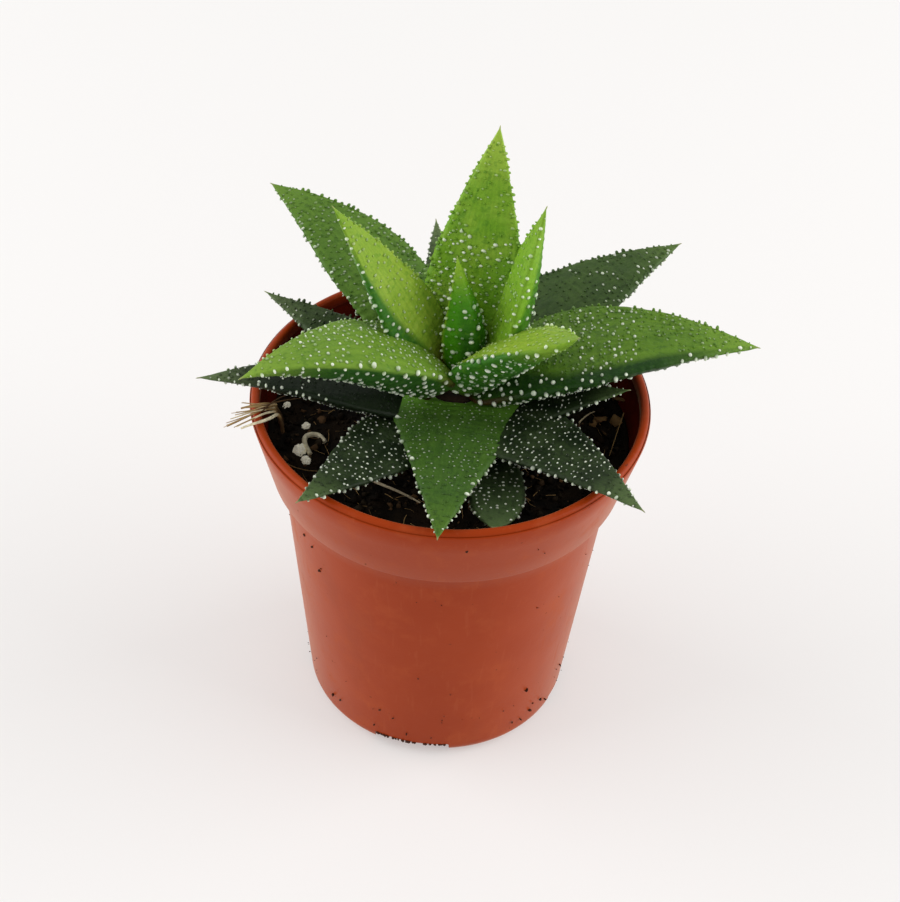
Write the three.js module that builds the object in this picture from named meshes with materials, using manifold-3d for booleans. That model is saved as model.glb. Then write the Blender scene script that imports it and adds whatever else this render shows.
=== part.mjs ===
// A small haworthia in a thin plastic nursery pot: pot, soil, stem, perlite grains and 18 leaves.
// Millimetres, +Z up, +Y towards the back, the pot standing on Z = 0.

import * as THREE from 'three';
import { mergeVertices } from 'three/addons/utils/BufferGeometryUtils.js';
import Module from 'manifold-3d';

const wasm = await Module();
wasm.setup();

const DEGREE = Math.PI / 180;
const FULL_TURN = 2 * Math.PI;

// Clearance between neighbouring pieces, and how far a tubercle stands up from its leaf
const GAP = 0.3;
const TUBERCLE = 0.6;

// Pot: radii and heights of a round nursery pot with a flared band at the rim
const POT = {
  sides: 48,
  height: 82.2,
  rimRadius: 42.5,
  wall: 1.0,
  lip: 2.2,
  lipDepth: 2.6,
  lipSlope: 1.2,
  edge: 0.6,
  bandHeight: 17.8,
  bandFootRadius: 38.2,
  neckRadius: 35.8,
  baseRadius: 29.2,
  baseRound: 3.2,
  footWidth: 2.4,
  footSlope: 0.6,
  floorRise: 3.8,
  floorRound: 1.0,
  ledgeDrop: 0.6,
  ledgeRise: 1.2,
};
const NOTCH = { count: 4, first: 260.8, width: 17, height: 3.3, depth: 6 };
const DRAIN = { count: 6, radius: 3, circle: 17, sides: 12 };

// Soil: the level at the wall and the middle, and the depth of its lumps
const SOIL = {
  wallLevel: 71.5, middleLevel: 70.5, lump: 0.9, rings: 6, footRound: 1.2, ledgeGap: 0.36,
};

// Stem: its place in the pot and its outline as [radius, height], from its foot to its tip
const STEM_CENTRE = new THREE.Vector2(1, 2);
const STEM = {
  sides: 16,
  outline: [[0, 52], [4, 54], [6, 66], [6.5, 76], [5.5, 82], [3.5, 86], [0, 88]],
};

// Perlite grains on the soil: [radius, x, y]
const PERLITE = [[1.4, -31.3, -8.6], [1, -29.8, -11.4], [0.9, -30.6, -0.6], [0.8, -35.3, 5.6]];
const PERLITE_SUNK = 0.35;

// Leaves, from the youngest to the oldest. Each starts at base and sets out towards azimuth,
// counted from +X towards +Y, at an angle of rise above the level. Over its length it bends by
// bend and sways by sway, with a last lift of tipLift at its tip. Width and thickness are the most
// it has, widest is where, and foot is its width share at its base. A higher taper makes a rounder
// tip. Roll turns it about its middle line, and around counts the points of its section.
const LEAVES = [
  { name: 'leaf_crown', tint: 'young', base: [2.5, 3.5, 85], azimuth: 299, rise: 97, bend: 10,
    length: 28, width: 10, thickness: 6, widest: 0.35, around: 12 },
  { name: 'leaf_young_left', tint: 'young', base: [-0.7, 3, 84], azimuth: 175, rise: 65, bend: -12,
    length: 49, width: 16, thickness: 7, widest: 0.35, roll: -26, around: 14 },
  { name: 'leaf_young_right', tint: 'young', base: [4.3, 4, 81.5], azimuth: 25, rise: 74, bend: -4,
    length: 46, width: 17, thickness: 7, widest: 0.35, roll: -12, around: 14 },
  { name: 'leaf_young_front', tint: 'young', base: [-0.1, 1.4, 86.2], azimuth: 328, rise: 61.5,
    bend: -46, length: 39.6, width: 17.5, thickness: 7.5, widest: 0.45, foot: 0.66, roll: -8,
    tipLift: 26, taper: 3, around: 14 },
  { name: 'leaf_tall_back', tint: 'young', base: [1.5, 5, 85], azimuth: 72, rise: 71, bend: 0,
    length: 54, width: 21, thickness: 7, widest: 0.34, taper: 1.5, around: 16 },
  { name: 'leaf_left', tint: 'middle', base: [-0.2, 0.9, 87.2], azimuth: 208, rise: 54, bend: -74,
    length: 53.5, width: 20.5, thickness: 10, widest: 0.43, foot: 0.58, roll: 5, around: 16 },
  { name: 'leaf_right', tint: 'middle', base: [3, 2.5, 83], azimuth: 2.5, rise: 37.5, bend: -52,
    length: 64.5, width: 27, thickness: 9, widest: 0.4, foot: 0.58, roll: -3, taper: 1.7,
    around: 18 },
  { name: 'leaf_front', tint: 'middle', base: [1.9, 1, 81.5], azimuth: 266.5, rise: 9.4, bend: -10,
    length: 48, width: 30, thickness: 7, widest: 0.08, taper: 1.15, around: 18 },
  { name: 'leaf_back_left', tint: 'old', base: [-1.2, 7.3, 81], azimuth: 130.5, rise: 42,
    bend: -44, sway: 13, length: 61, width: 21.5, thickness: 8, widest: 0.47, taper: 1.6,
    around: 16 },
  { name: 'leaf_back_right', tint: 'old', base: [4, 6.5, 80], azimuth: 37, rise: 34, bend: -38,
    length: 59, width: 25, thickness: 8, widest: 0.33, around: 16 },
  { name: 'leaf_outer_left', tint: 'old', base: [-3, 2, 77], azimuth: 195, rise: 34, bend: -34,
    length: 54, width: 17, thickness: 6, widest: 0.35, around: 12 },
  { name: 'leaf_outer_back_left', tint: 'old', base: [-2.5, 4, 77], azimuth: 151, rise: 20, bend: -16,
    length: 46, width: 16, thickness: 6, widest: 0.35, around: 12 },
  { name: 'leaf_outer_front_right', tint: 'old', base: [3, 0, 78], azimuth: 316, rise: 24, bend: -32,
    length: 52.5, width: 21, thickness: 6, widest: 0.3, around: 16 },
  { name: 'leaf_outer_right', tint: 'old', base: [3.5, 1, 74], azimuth: 350, rise: 35, bend: -18,
    length: 38, width: 18, thickness: 5, widest: 0.3, around: 12 },
  { name: 'leaf_outer_front_left', tint: 'old', base: [-1, -0.5, 79.4], azimuth: 233.7,
    rise: 7.6, bend: 0, length: 48.4, width: 18, thickness: 4.4, widest: 0.38, around: 14 },
  { name: 'leaf_outer_back', tint: 'old', base: [0.5, 5, 78], azimuth: 98, rise: 25, bend: -15,
    length: 46, width: 14, thickness: 6, widest: 0.35, around: 12 },
  { name: 'leaf_hidden_back', tint: 'old', base: [2.5, 5, 76], azimuth: 66, rise: 12, bend: -8,
    length: 34, width: 14, thickness: 5, widest: 0.35, around: 12 },
  { name: 'leaf_outer_front', tint: 'old', base: [2.5, -1, 74.5], azimuth: 302, rise: 11, bend: -8,
    sway: -40, length: 37.5, width: 12, thickness: 5, widest: 0.55, taper: 5, around: 12 },
];

// What every leaf shares
const LEAF = {
  stationStep: 2.9,
  tipCrowding: 1.2,
  smoothBase: 0.14,
  smoothTip: 0.97,
  foot: 0.86,
  baseThickness: 0.75,
  thickest: 0.3,
  thinning: 1.8,
  taper: 1.35,
  straightTaper: 0.12,
  tipRadius: 0.45,
  middleDepth: 0.4,
  upperCrown: 0.08,
  keelSpread: 1.5,
  keelFullness: 0.85,
  evenSpacing: 0.6,
  normalStep: 0.12,
  upperTubercle: 0.6,
  tubercleRoom: 0.22,
  liftFrom: 0.75,
  spineSteps: 32,
};

// Colours
const FINISH = {
  pot: { color: 0xb9592f, roughness: 0.45, metalness: 0 },
  soil: { color: 0x2b211a, roughness: 0.95, metalness: 0 },
  stem: { color: 0x6b3a25, roughness: 0.8, metalness: 0 },
  perlite: { color: 0xe8e4da, roughness: 0.9, metalness: 0 },
  young: { color: 0x7fa63a, roughness: 0.5, metalness: 0 },
  middle: { color: 0x5d8b3a, roughness: 0.5, metalness: 0 },
  old: { color: 0x3c5a36, roughness: 0.55, metalness: 0 },
};

// A small seeded random source, so that every build is the same
function seededRandom(seed) {
  let state = seed;
  return () => {
    state = (state + 0x6d2b79f5) | 0;
    let mixed = Math.imul(state ^ (state >>> 15), 1 | state);
    mixed = (mixed + Math.imul(mixed ^ (mixed >>> 7), 61 | mixed)) ^ mixed;
    return ((mixed ^ (mixed >>> 14)) >>> 0) / 4294967296;
  };
}

// Closed geometry to solid, and back
function toSolid(geometry) {
  const bare = geometry.clone();
  for (const name of Object.keys(bare.attributes)) {
    if (name !== 'position') bare.deleteAttribute(name);
  }
  const merged = mergeVertices(bare, 1e-5);
  const vertProperties = new Float32Array(merged.attributes.position.array);
  const kept = [];
  for (let i = 0; i < merged.index.count; i += 3) {
    const corner = [0, 1, 2].map((k) => merged.index.getX(i + k));
    if (new Set(corner).size === 3) kept.push(...corner);
  }
  return new wasm.Manifold(new wasm.Mesh({
    numProp: 3, vertProperties, triVerts: new Uint32Array(kept),
  }));
}

function toGeometry(solid) {
  const mesh = solid.getMesh();
  const geometry = new THREE.BufferGeometry();
  geometry.setAttribute('position', new THREE.BufferAttribute(mesh.vertProperties, mesh.numProp));
  geometry.setIndex(new THREE.BufferAttribute(mesh.triVerts, 1));
  geometry.computeVertexNormals();
  return geometry;
}

// The largest of the bodies that a cut leaves
function largestBody(solid) {
  const bodies = solid.decompose();
  bodies.sort((a, b) => b.volume() - a.volume());
  return bodies[0];
}

function lathe(outline, sides) {
  const geometry = new THREE.LatheGeometry(outline.map(([r, z]) => new THREE.Vector2(r, z)), sides);
  return geometry.rotateX(Math.PI / 2);
}

// Pot
function innerWallRadius(z) {
  const bandFoot = POT.height - POT.bandHeight;
  const inBand = z > bandFoot + POT.wall;
  const low = inBand ? [bandFoot, POT.bandFootRadius] : [0, POT.baseRadius];
  const high = inBand ? [POT.height, POT.rimRadius] : [bandFoot, POT.neckRadius];
  const share = (z - low[0]) / (high[0] - low[0]);
  return THREE.MathUtils.lerp(low[1], high[1], share) - POT.wall;
}

function makePot() {
  const bandFoot = POT.height - POT.bandHeight;
  const floorTop = POT.floorRise + POT.wall;
  const footInner = POT.baseRadius - POT.baseRound - POT.footWidth;
  const outline = [
    [0, POT.floorRise],
    [footInner - POT.footSlope, POT.floorRise],
    [footInner, 0],
    [POT.baseRadius - POT.baseRound, 0],
    [POT.baseRadius - 0.3 * POT.baseRound, 0.3 * POT.baseRound],
    [POT.baseRadius, POT.baseRound],
    [POT.neckRadius, bandFoot],
    [POT.bandFootRadius, bandFoot],
    [POT.rimRadius, POT.height - POT.edge],
    [POT.rimRadius - POT.edge, POT.height],
    [POT.rimRadius - POT.lip + POT.edge / 3, POT.height],
    [POT.rimRadius - POT.lip, POT.height - POT.edge],
    [POT.rimRadius - POT.lip, POT.height - POT.lipDepth],
    [innerWallRadius(POT.height - POT.lipDepth - POT.lipSlope), POT.height - POT.lipDepth - POT.lipSlope],
    [innerWallRadius(bandFoot + POT.ledgeRise), bandFoot + POT.ledgeRise],
    [POT.neckRadius - POT.wall, bandFoot + POT.ledgeDrop],
    [innerWallRadius(floorTop + POT.floorRound), floorTop + POT.floorRound],
    [innerWallRadius(floorTop) - POT.floorRound, floorTop],
    [0, floorTop],
  ];
  let pot = toSolid(lathe(outline, POT.sides));
  for (let i = 0; i < NOTCH.count; i += 1) {
    const cutter = new THREE.BoxGeometry(2 * NOTCH.depth, NOTCH.width, 2 * NOTCH.height);
    cutter.translate(POT.baseRadius, 0, 0);
    cutter.rotateZ((NOTCH.first + (i * 360) / NOTCH.count) * DEGREE);
    pot = pot.subtract(toSolid(cutter));
  }
  for (let i = 0; i < DRAIN.count; i += 1) {
    const hole = new THREE.CylinderGeometry(DRAIN.radius, DRAIN.radius, 4 * POT.wall, DRAIN.sides);
    hole.rotateX(Math.PI / 2);
    hole.translate(DRAIN.circle, 0, POT.floorRise + POT.wall / 2);
    hole.rotateZ(((i + 0.5) * FULL_TURN) / DRAIN.count);
    pot = pot.subtract(toSolid(hole));
  }
  return pot;
}

// Soil: fills the pot to its inner wall and has a lumpy top
function soilLevel(radius) {
  const share = Math.min(1, radius / innerWallRadius(SOIL.wallLevel));
  return THREE.MathUtils.lerp(SOIL.middleLevel, SOIL.wallLevel, share * share);
}

function makeSoil() {
  const bandFoot = POT.height - POT.bandHeight;
  const bottom = POT.floorRise + POT.wall + GAP;
  const rim = innerWallRadius(SOIL.wallLevel) - GAP;
  const outline = [
    [0, bottom],
    [innerWallRadius(bottom) - GAP - SOIL.footRound, bottom],
    [innerWallRadius(bottom + POT.floorRound) - GAP, bottom + POT.floorRound],
    [POT.neckRadius - POT.wall - GAP, bandFoot + POT.ledgeDrop + GAP],
    [innerWallRadius(bandFoot + POT.ledgeRise) - GAP, bandFoot + POT.ledgeRise + SOIL.ledgeGap],
    [rim, SOIL.wallLevel],
  ];
  for (let i = SOIL.rings - 1; i >= 0; i -= 1) {
    const radius = (rim * i) / SOIL.rings;
    outline.push([radius, soilLevel(radius)]);
  }
  const geometry = lathe(outline, POT.sides);
  const bare = geometry.clone();
  bare.deleteAttribute('normal');
  bare.deleteAttribute('uv');
  const merged = mergeVertices(bare, 1e-4);
  const random = seededRandom(11);
  const position = merged.attributes.position;
  for (let i = 0; i < position.count; i += 1) {
    const radius = Math.hypot(position.getX(i), position.getY(i));
    const onTop = position.getZ(i) > SOIL.middleLevel - 0.1 && radius < rim - 1;
    const lump = SOIL.lump * (2 * random() - 1);
    if (onTop) position.setZ(i, position.getZ(i) + lump);
  }
  return toSolid(merged);
}

// Stem: growth widens it and also lengthens it at both ends
function makeStem(growth) {
  const middleHeight = (STEM.outline[0][1] + STEM.outline.at(-1)[1]) / 2;
  const outline = STEM.outline.map(([r, z]) => {
    return [r === 0 ? 0 : r + growth, z + growth * Math.sign(z - middleHeight)];
  });
  return toSolid(lathe(outline, STEM.sides).translate(STEM_CENTRE.x, STEM_CENTRE.y, 0));
}

// Perlite: a rough grain, part sunk in the soil
function makeGrain([radius, x, y], growth, seed) {
  const ball = new THREE.IcosahedronGeometry(radius + growth, 0);
  ball.deleteAttribute('normal');
  ball.deleteAttribute('uv');
  const merged = mergeVertices(ball, 1e-4);
  const random = seededRandom(seed);
  const position = merged.attributes.position;
  const point = new THREE.Vector3();
  for (let i = 0; i < position.count; i += 1) {
    point.fromBufferAttribute(position, i).multiplyScalar(0.85 + 0.3 * random());
    position.setXYZ(i, point.x, point.y, point.z);
  }
  const height = soilLevel(Math.hypot(x, y)) + radius * (1 - 2 * PERLITE_SUNK);
  return toSolid(merged.translate(x, y, height));
}

// Leaf: direction and place along its middle line, at a share t of its length
function leafDirection(leaf, t) {
  const late = Math.max(0, (t - LEAF.liftFrom) / (1 - LEAF.liftFrom));
  const rise = (leaf.rise + leaf.bend * t + (leaf.tipLift ?? 0) * late * late) * DEGREE;
  const azimuth = (leaf.azimuth + (leaf.sway ?? 0) * t) * DEGREE;
  return new THREE.Vector3(
    Math.cos(rise) * Math.cos(azimuth), Math.cos(rise) * Math.sin(azimuth), Math.sin(rise));
}

function leafPoint(leaf, t) {
  const point = new THREE.Vector3(...leaf.base);
  const step = t / LEAF.spineSteps;
  for (let i = 0; i < LEAF.spineSteps; i += 1) {
    point.addScaledVector(leafDirection(leaf, (i + 0.5) * step), step * leaf.length);
  }
  return point;
}

// The frame across a leaf: its direction, its side and its upper face
function leafFrame(leaf, t) {
  const azimuth = (leaf.azimuth + (leaf.sway ?? 0) * t) * DEGREE;
  const direction = leafDirection(leaf, t);
  const side = new THREE.Vector3(-Math.sin(azimuth), Math.cos(azimuth), 0);
  side.applyAxisAngle(direction, (leaf.roll ?? 0) * DEGREE);
  return { point: leafPoint(leaf, t), side, up: new THREE.Vector3().crossVectors(direction, side) };
}

function widthShare(leaf, t) {
  if (t < leaf.widest) {
    const foot = leaf.foot ?? LEAF.foot;
    return foot + (1 - foot) * Math.sin((t / leaf.widest) * Math.PI / 2);
  }
  const s = (t - leaf.widest) / (1 - leaf.widest);
  return (1 - s ** (leaf.taper ?? LEAF.taper)) * (1 - LEAF.straightTaper * s);
}

function thicknessShare(t) {
  const full = Math.min(1, t / LEAF.thickest);
  const rise = LEAF.baseThickness + (1 - LEAF.baseThickness) * Math.sin(full * Math.PI / 2);
  const s = Math.max(0, (t - LEAF.thickest) / (1 - LEAF.thickest));
  return rise * (1 - s ** LEAF.thinning);
}

// The section of a leaf: nearly flat above, deep and keeled below, sharp at both margins
function sectionPoint(leaf, t, angle) {
  const turn = angle / Math.PI;
  const even = turn <= 1 ? 1 - 2 * turn : 2 * turn - 3;
  const across = THREE.MathUtils.lerp(Math.cos(angle), even, LEAF.evenSpacing);
  const half = Math.max(LEAF.tipRadius, 0.5 * leaf.width * widthShare(leaf, t));
  const depth = Math.max(2 * LEAF.tipRadius, leaf.thickness * thicknessShare(t));
  const upper = LEAF.upperCrown * (1 - across * across);
  const lower = -(Math.max(0, 1 - Math.abs(across) ** LEAF.keelSpread) ** LEAF.keelFullness);
  return new THREE.Vector2(half * across, depth * (turn <= 1 ? upper : lower));
}

function sectionNormal(leaf, t, angle) {
  const before = sectionPoint(leaf, t, (angle - LEAF.normalStep + FULL_TURN) % FULL_TURN);
  const after = sectionPoint(leaf, t, (angle + LEAF.normalStep) % FULL_TURN);
  const along = after.sub(before).normalize();
  return new THREE.Vector2(along.y, -along.x);
}

// Each quad of the tube has one pair of raised corners, and its fold joins the other two
function foldBetweenTubercles(tube, around, stations, isRaised) {
  const index = tube.index;
  for (let quad = 0; quad < around * stations; quad += 1) {
    const [a, b, d, , c] = [0, 1, 2, 3, 4].map((k) => index.getX(6 * quad + k));
    if (isRaised(b) && isRaised(d)) {
      [a, b, c, a, c, d].forEach((corner, k) => index.setX(6 * quad + k, corner));
    }
  }
}

// A leaf is a capped tube whose every point is set on the leaf's surface. With tubercles, every
// other point is raised, so that the pearls stand in staggered rows from margin to margin.
function makeLeaf(leaf, growth, seed) {
  const around = leaf.around;
  const stations = Math.round(leaf.length / LEAF.stationStep);
  const tube = new THREE.CylinderGeometry(1, 1, 1, around, stations);
  const raisedPoints = new Set();
  const position = tube.attributes.position;
  const random = seededRandom(seed);
  const liveliness = Array.from({ length: (stations + 1) * around }, () => 0.75 + 0.5 * random());
  for (let i = 0; i < position.count; i += 1) {
    const x = position.getX(i);
    const z = position.getZ(i);
    const station = Math.round((position.getY(i) + 0.5) * stations);
    const t = 1 - (1 - station / stations) ** LEAF.tipCrowding;
    const column = Math.round((Math.atan2(x, z) / FULL_TURN + 1) * around) % around;
    const angle = (column * FULL_TURN) / around;
    const { point, side, up } = leafFrame(leaf, t);
    const onAxis = Math.hypot(x, z) < 0.5;
    if (station === 0) point.addScaledVector(leafDirection(leaf, t), -growth);
    if (station === stations) point.addScaledVector(leafDirection(leaf, t), growth);
    if (onAxis) {
      const rounding = station === 0 ? 0 : LEAF.tipRadius;
      point.addScaledVector(leafDirection(leaf, t), rounding);
      point.addScaledVector(up, -LEAF.middleDepth * leaf.thickness * thicknessShare(t));
    } else {
      const across = sectionPoint(leaf, t, angle);
      const normal = sectionNormal(leaf, t, angle);
      const warty = t > LEAF.smoothBase && t < LEAF.smoothTip;
      const raised = growth === 0 && warty && (station + column) % 2 === 0;
      if (raised) raisedPoints.add(i);
      const upperFace = column > 0 && column < around / 2;
      const room = LEAF.tubercleRoom * leaf.width * widthShare(leaf, t);
      const full = Math.min(room, TUBERCLE * (upperFace ? LEAF.upperTubercle : 1));
      const tubercle = raised ? full * liveliness[station * around + column] : 0;
      const clearance = growth + (t > LEAF.smoothBase ? TUBERCLE : 0);
      across.addScaledVector(normal, growth > 0 ? clearance : tubercle);
      point.addScaledVector(side, across.x).addScaledVector(up, across.y);
    }
    position.setXYZ(i, point.x, point.y, point.z);
  }
  foldBetweenTubercles(tube, around, stations, (i) => raisedPoints.has(i));
  return toSolid(tube);
}

// Each older leaf makes room for the stem and for every younger leaf
function makeLeaves() {
  let taken = makeStem(GAP);
  return LEAVES.map((leaf, age) => {
    const solid = largestBody(makeLeaf(leaf, 0, 100 + age).subtract(taken));
    taken = taken.add(makeLeaf(leaf, GAP, 100 + age));
    return { leaf, solid };
  });
}

function makeMesh(name, solid, finish) {
  const mesh = new THREE.Mesh(toGeometry(solid), new THREE.MeshStandardMaterial(FINISH[finish]));
  mesh.name = name;
  return mesh;
}

const plant = new THREE.Group();
const leaves = makeLeaves();
let soil = makeSoil().subtract(makeStem(GAP));
for (const { leaf } of leaves) {
  soil = soil.subtract(makeLeaf(leaf, GAP, 0));
}
plant.add(makeMesh('pot', makePot(), 'pot'));
PERLITE.forEach((grain, i) => {
  plant.add(makeMesh(`perlite_${i + 1}`, makeGrain(grain, 0, 40 + i), 'perlite'));
  soil = soil.subtract(makeGrain(grain, GAP, 40 + i));
});
plant.add(makeMesh('soil', largestBody(soil), 'soil'));
plant.add(makeMesh('stem', makeStem(0), 'stem'));
for (const { leaf, solid } of leaves) {
  plant.add(makeMesh(leaf.name, solid, leaf.tint));
}

// The origin is under the middle of the whole object, so the pot stands a little off it
const box = new THREE.Box3().setFromObject(plant);
const middle = box.getCenter(new THREE.Vector3());
plant.position.set(-middle.x, -middle.y, 0);
plant.updateMatrixWorld(true);

export default plant;
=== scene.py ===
# %% [markdown]
# # A small haworthia in a plastic nursery pot
#
# The plant is a rosette of 18 thick, pointed leaves, studded with pearl-like tubercles. It
# stands in dark peat in a thin orange-brown pot. The solids come from a packed model, which
# is loaded first. Each solid but the stem then gets a finer mesh of the same form, and each
# one a finish of its own.

import math
import random

import bmesh
import bpy
from mathutils import Matrix, Vector, noise
from mathutils.bvhtree import BVHTree


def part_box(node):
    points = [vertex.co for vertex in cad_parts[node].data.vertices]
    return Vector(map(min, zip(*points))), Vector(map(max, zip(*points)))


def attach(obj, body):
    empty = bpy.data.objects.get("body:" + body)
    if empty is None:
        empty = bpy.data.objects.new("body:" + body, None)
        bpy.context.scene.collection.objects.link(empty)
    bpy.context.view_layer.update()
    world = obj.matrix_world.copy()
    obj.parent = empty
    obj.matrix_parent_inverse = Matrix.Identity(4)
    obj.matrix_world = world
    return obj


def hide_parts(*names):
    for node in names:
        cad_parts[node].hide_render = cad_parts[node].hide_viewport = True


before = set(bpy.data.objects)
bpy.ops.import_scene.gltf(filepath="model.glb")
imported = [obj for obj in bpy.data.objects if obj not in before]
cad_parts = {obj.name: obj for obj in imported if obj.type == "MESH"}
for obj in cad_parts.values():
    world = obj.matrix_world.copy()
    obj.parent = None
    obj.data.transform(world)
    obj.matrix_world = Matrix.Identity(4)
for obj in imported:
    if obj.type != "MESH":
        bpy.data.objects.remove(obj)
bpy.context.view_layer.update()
print("solids loaded:", len(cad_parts))

# %% [markdown]
# The pieces below are worked out in millimetres, with the pot's axis in the middle and the
# table at height nought, because that is how a grower would measure the plant. One matrix
# then takes a finished mesh to the packed model's frame, which is in metres.

# %% Millimetres round the pot's axis
MM = 0.001
pot_low, pot_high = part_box("pot")
pot_middle = (pot_low + pot_high) / 2
TO_FRAME = Matrix.Translation((pot_middle.x, pot_middle.y, pot_low.z)) @ Matrix.Scale(MM, 4)
print("pot axis:", [round(value, 5) for value in pot_middle.xy])


def polar(radius, degrees, height):
    """A point at a radius and a bearing from the pot's axis."""
    turn = math.radians(degrees)
    return Vector((radius * math.cos(turn), radius * math.sin(turn), height))


# %% [markdown]
# The camera looks down at the plant from about 42 degrees and leans a little to one side.
# Its lens follows from the focal length in pixels of a 900 by 902 picture, because the
# sensor width belongs to the longer side.

# %% Camera
CAMERA_DISTANCE = 518.66
CAMERA_ELEVATION = 42.47
CAMERA_LEAN = 3.25
CAMERA_TARGET = Vector((0.49, 0, 66.05))
FOCAL_PIXELS = 2400
LONG_SIDE_PIXELS = 902
SENSOR = 36


def make_object(name, data):
    """Puts a mesh, a curve, a lamp or a camera into the scene."""
    made = bpy.data.objects.new(name, data)
    bpy.context.scene.collection.objects.link(made)
    return made


camera_data = bpy.data.cameras.new("camera")
camera_data.sensor_width = SENSOR
camera_data.lens = SENSOR * FOCAL_PIXELS / LONG_SIDE_PIXELS
camera = make_object("camera", camera_data)
tilt = Matrix.Rotation(math.radians(90 - CAMERA_ELEVATION), 4, "X")
lean = Matrix.Rotation(math.radians(CAMERA_LEAN), 4, "Z")
step_back = Matrix.Translation((0, 0, CAMERA_DISTANCE))
placing = TO_FRAME @ Matrix.Translation(CAMERA_TARGET) @ tilt @ step_back @ lean
camera.location = placing.to_translation()
camera.rotation_euler = placing.to_euler()
bpy.context.scene.camera = camera
print("lens:", round(camera_data.lens, 2), "mm")

# %% [markdown]
# A finish is a tree of shader nodes. The two small classes below let it be written as plain
# sums: `Value` wraps one output, and Python's operators on it add Math nodes, while
# `Finish.node` makes any other node from its type, its settings and its sockets. In the
# finishes below, a grain's first number is its size in millimetres, and the number that a
# pattern is multiplied by is the most that it may take of the next colour.


# %% Shader sums
class Value:
    """A number or a colour that changes over a surface."""

    def __init__(self, finish, socket):
        self.finish = finish
        self.socket = socket

    def __add__(self, other):
        return self.finish.math("ADD", self, other)

    def __radd__(self, other):
        return self.finish.math("ADD", other, self)

    def __sub__(self, other):
        return self.finish.math("SUBTRACT", self, other)

    def __rsub__(self, other):
        return self.finish.math("SUBTRACT", other, self)

    def __mul__(self, other):
        return self.finish.math("MULTIPLY", self, other)

    def __rmul__(self, other):
        return self.finish.math("MULTIPLY", other, self)

    def between(self, low, high):
        """Nought below low, one above high, and a smooth step from one to the other."""
        settings = {"interpolation_type": "SMOOTHSTEP"}
        sockets = {"Value": self, "From Min": low, "From Max": high}
        return self.finish.node("ShaderNodeMapRange", settings, sockets)


class Finish:
    """A material whose nodes are made by calls."""

    def __init__(self, name, **constants):
        self.material = bpy.data.materials.new(name)
        self.material.use_nodes = True
        self.tree = self.material.node_tree
        self.shader = self.tree.nodes["Principled BSDF"]
        for socket, value in constants.items():
            self.shader.inputs[socket.replace("_", " ")].default_value = value

    def node(self, kind, settings=None, sockets=None, output=0):
        """Any node, as the value of one of its outputs."""
        made = self.tree.nodes.new(kind)
        for name, value in (settings or {}).items():
            setattr(made, name, value)
        for name, value in (sockets or {}).items():
            self.feed(made.inputs[name], value)
        return Value(self, made.outputs[output])

    def feed(self, socket, value):
        """Links a value to a socket, or sets the socket to a plain number or colour."""
        if isinstance(value, Value):
            self.tree.links.new(value.socket, socket)
        else:
            socket.default_value = value

    def math(self, operation, *terms):
        return self.node("ShaderNodeMath", {"operation": operation}, dict(enumerate(terms)))

    def mix(self, share, first, second):
        """A colour between two colours."""
        settings = {"data_type": "RGBA", "clamp_factor": True}
        sockets = {0: share, 6: opaque(first), 7: opaque(second)}
        return self.node("ShaderNodeMix", settings, sockets, output=2)

    def attribute(self, name):
        """A number that is kept on the points of the mesh."""
        return self.node("ShaderNodeAttribute", {"attribute_name": name}, output=2)

    def place(self, stretch=(1, 1, 1)):
        """The object's own coordinates, stretched along its axes."""
        spot = self.node("ShaderNodeTexCoord", output=3)
        settings = {"operation": "MULTIPLY"}
        return self.node("ShaderNodeVectorMath", settings, {0: spot, 1: stretch})

    def grain(self, size, detail=3.0, stretch=(1, 1, 1), where=None, roughness=0.5):
        """Cloudy noise from nought to one, whose blotches are about size millimetres."""
        sockets = {
            "Vector": where or self.place(stretch),
            "Scale": 1 / (size * MM) if where is None else 1 / size,
            "Detail": detail,
            "Roughness": roughness,
        }
        return self.node("ShaderNodeTexNoise", None, sockets)

    def bump(self, height, depth, under=None):
        """Relief of a depth in millimetres, laid over the relief under it."""
        sockets = {"Height": height, "Distance": depth * MM, "Strength": 1.0}
        if under is not None:
            sockets["Normal"] = under
        return self.node("ShaderNodeBump", None, sockets)

    def wear(self, **inputs):
        """Feeds the shader's own sockets."""
        for name, value in inputs.items():
            self.feed(self.shader.inputs[name.replace("_", " ")], value)
        return self.material


def opaque(colour):
    """A colour with its fourth number, or a socket as it is."""
    return colour if isinstance(colour, Value) else (*colour, 1.0)


print("operators ready:", [name for name in vars(Value) if name.startswith("__r")])

# %% [markdown]
# The photograph shows a pale ground and soft, even light. The floor is one large pale
# plane, with a little light of its own, like paper on a light table, which keeps its
# shadows faint. The sky is an even white that lights everything from all sides. Two
# broad lamps, a window at the left and a white wall at the right, brighten the flanks of the
# pot and leave its front a little deeper, as the photograph shows it.

# %% Floor and light
FLOOR_SIZE = 3000
SKY_STRENGTH = 0.66
LAMPS = {
    "window": dict(place=(-900, 20, 460), size=1000, watts=7.6),
    "white_wall": dict(place=(900, 20, 400), size=1000, watts=9.0),
}


def make_mesh(name, bm):
    """Turns a bmesh into a mesh and frees it."""
    mesh = bpy.data.meshes.new(name)
    bm.to_mesh(mesh)
    bm.free()
    return mesh


bm = bmesh.new()
bmesh.ops.create_grid(bm, x_segments=2, y_segments=2, size=FLOOR_SIZE / 2)
bm.transform(TO_FRAME)
floor_mesh = make_mesh("floor", bm)
floor = make_object("floor", floor_mesh)
paper = Finish(
    "paper", Roughness=0.9, Emission_Color=(1.0, 0.99, 0.975, 1.0), Emission_Strength=0.37,
)
paper_tone = paper.mix(paper.grain(400), (0.49, 0.48, 0.475), (0.50, 0.49, 0.485))
floor_mesh.materials.append(paper.wear(Base_Color=paper_tone))

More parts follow.
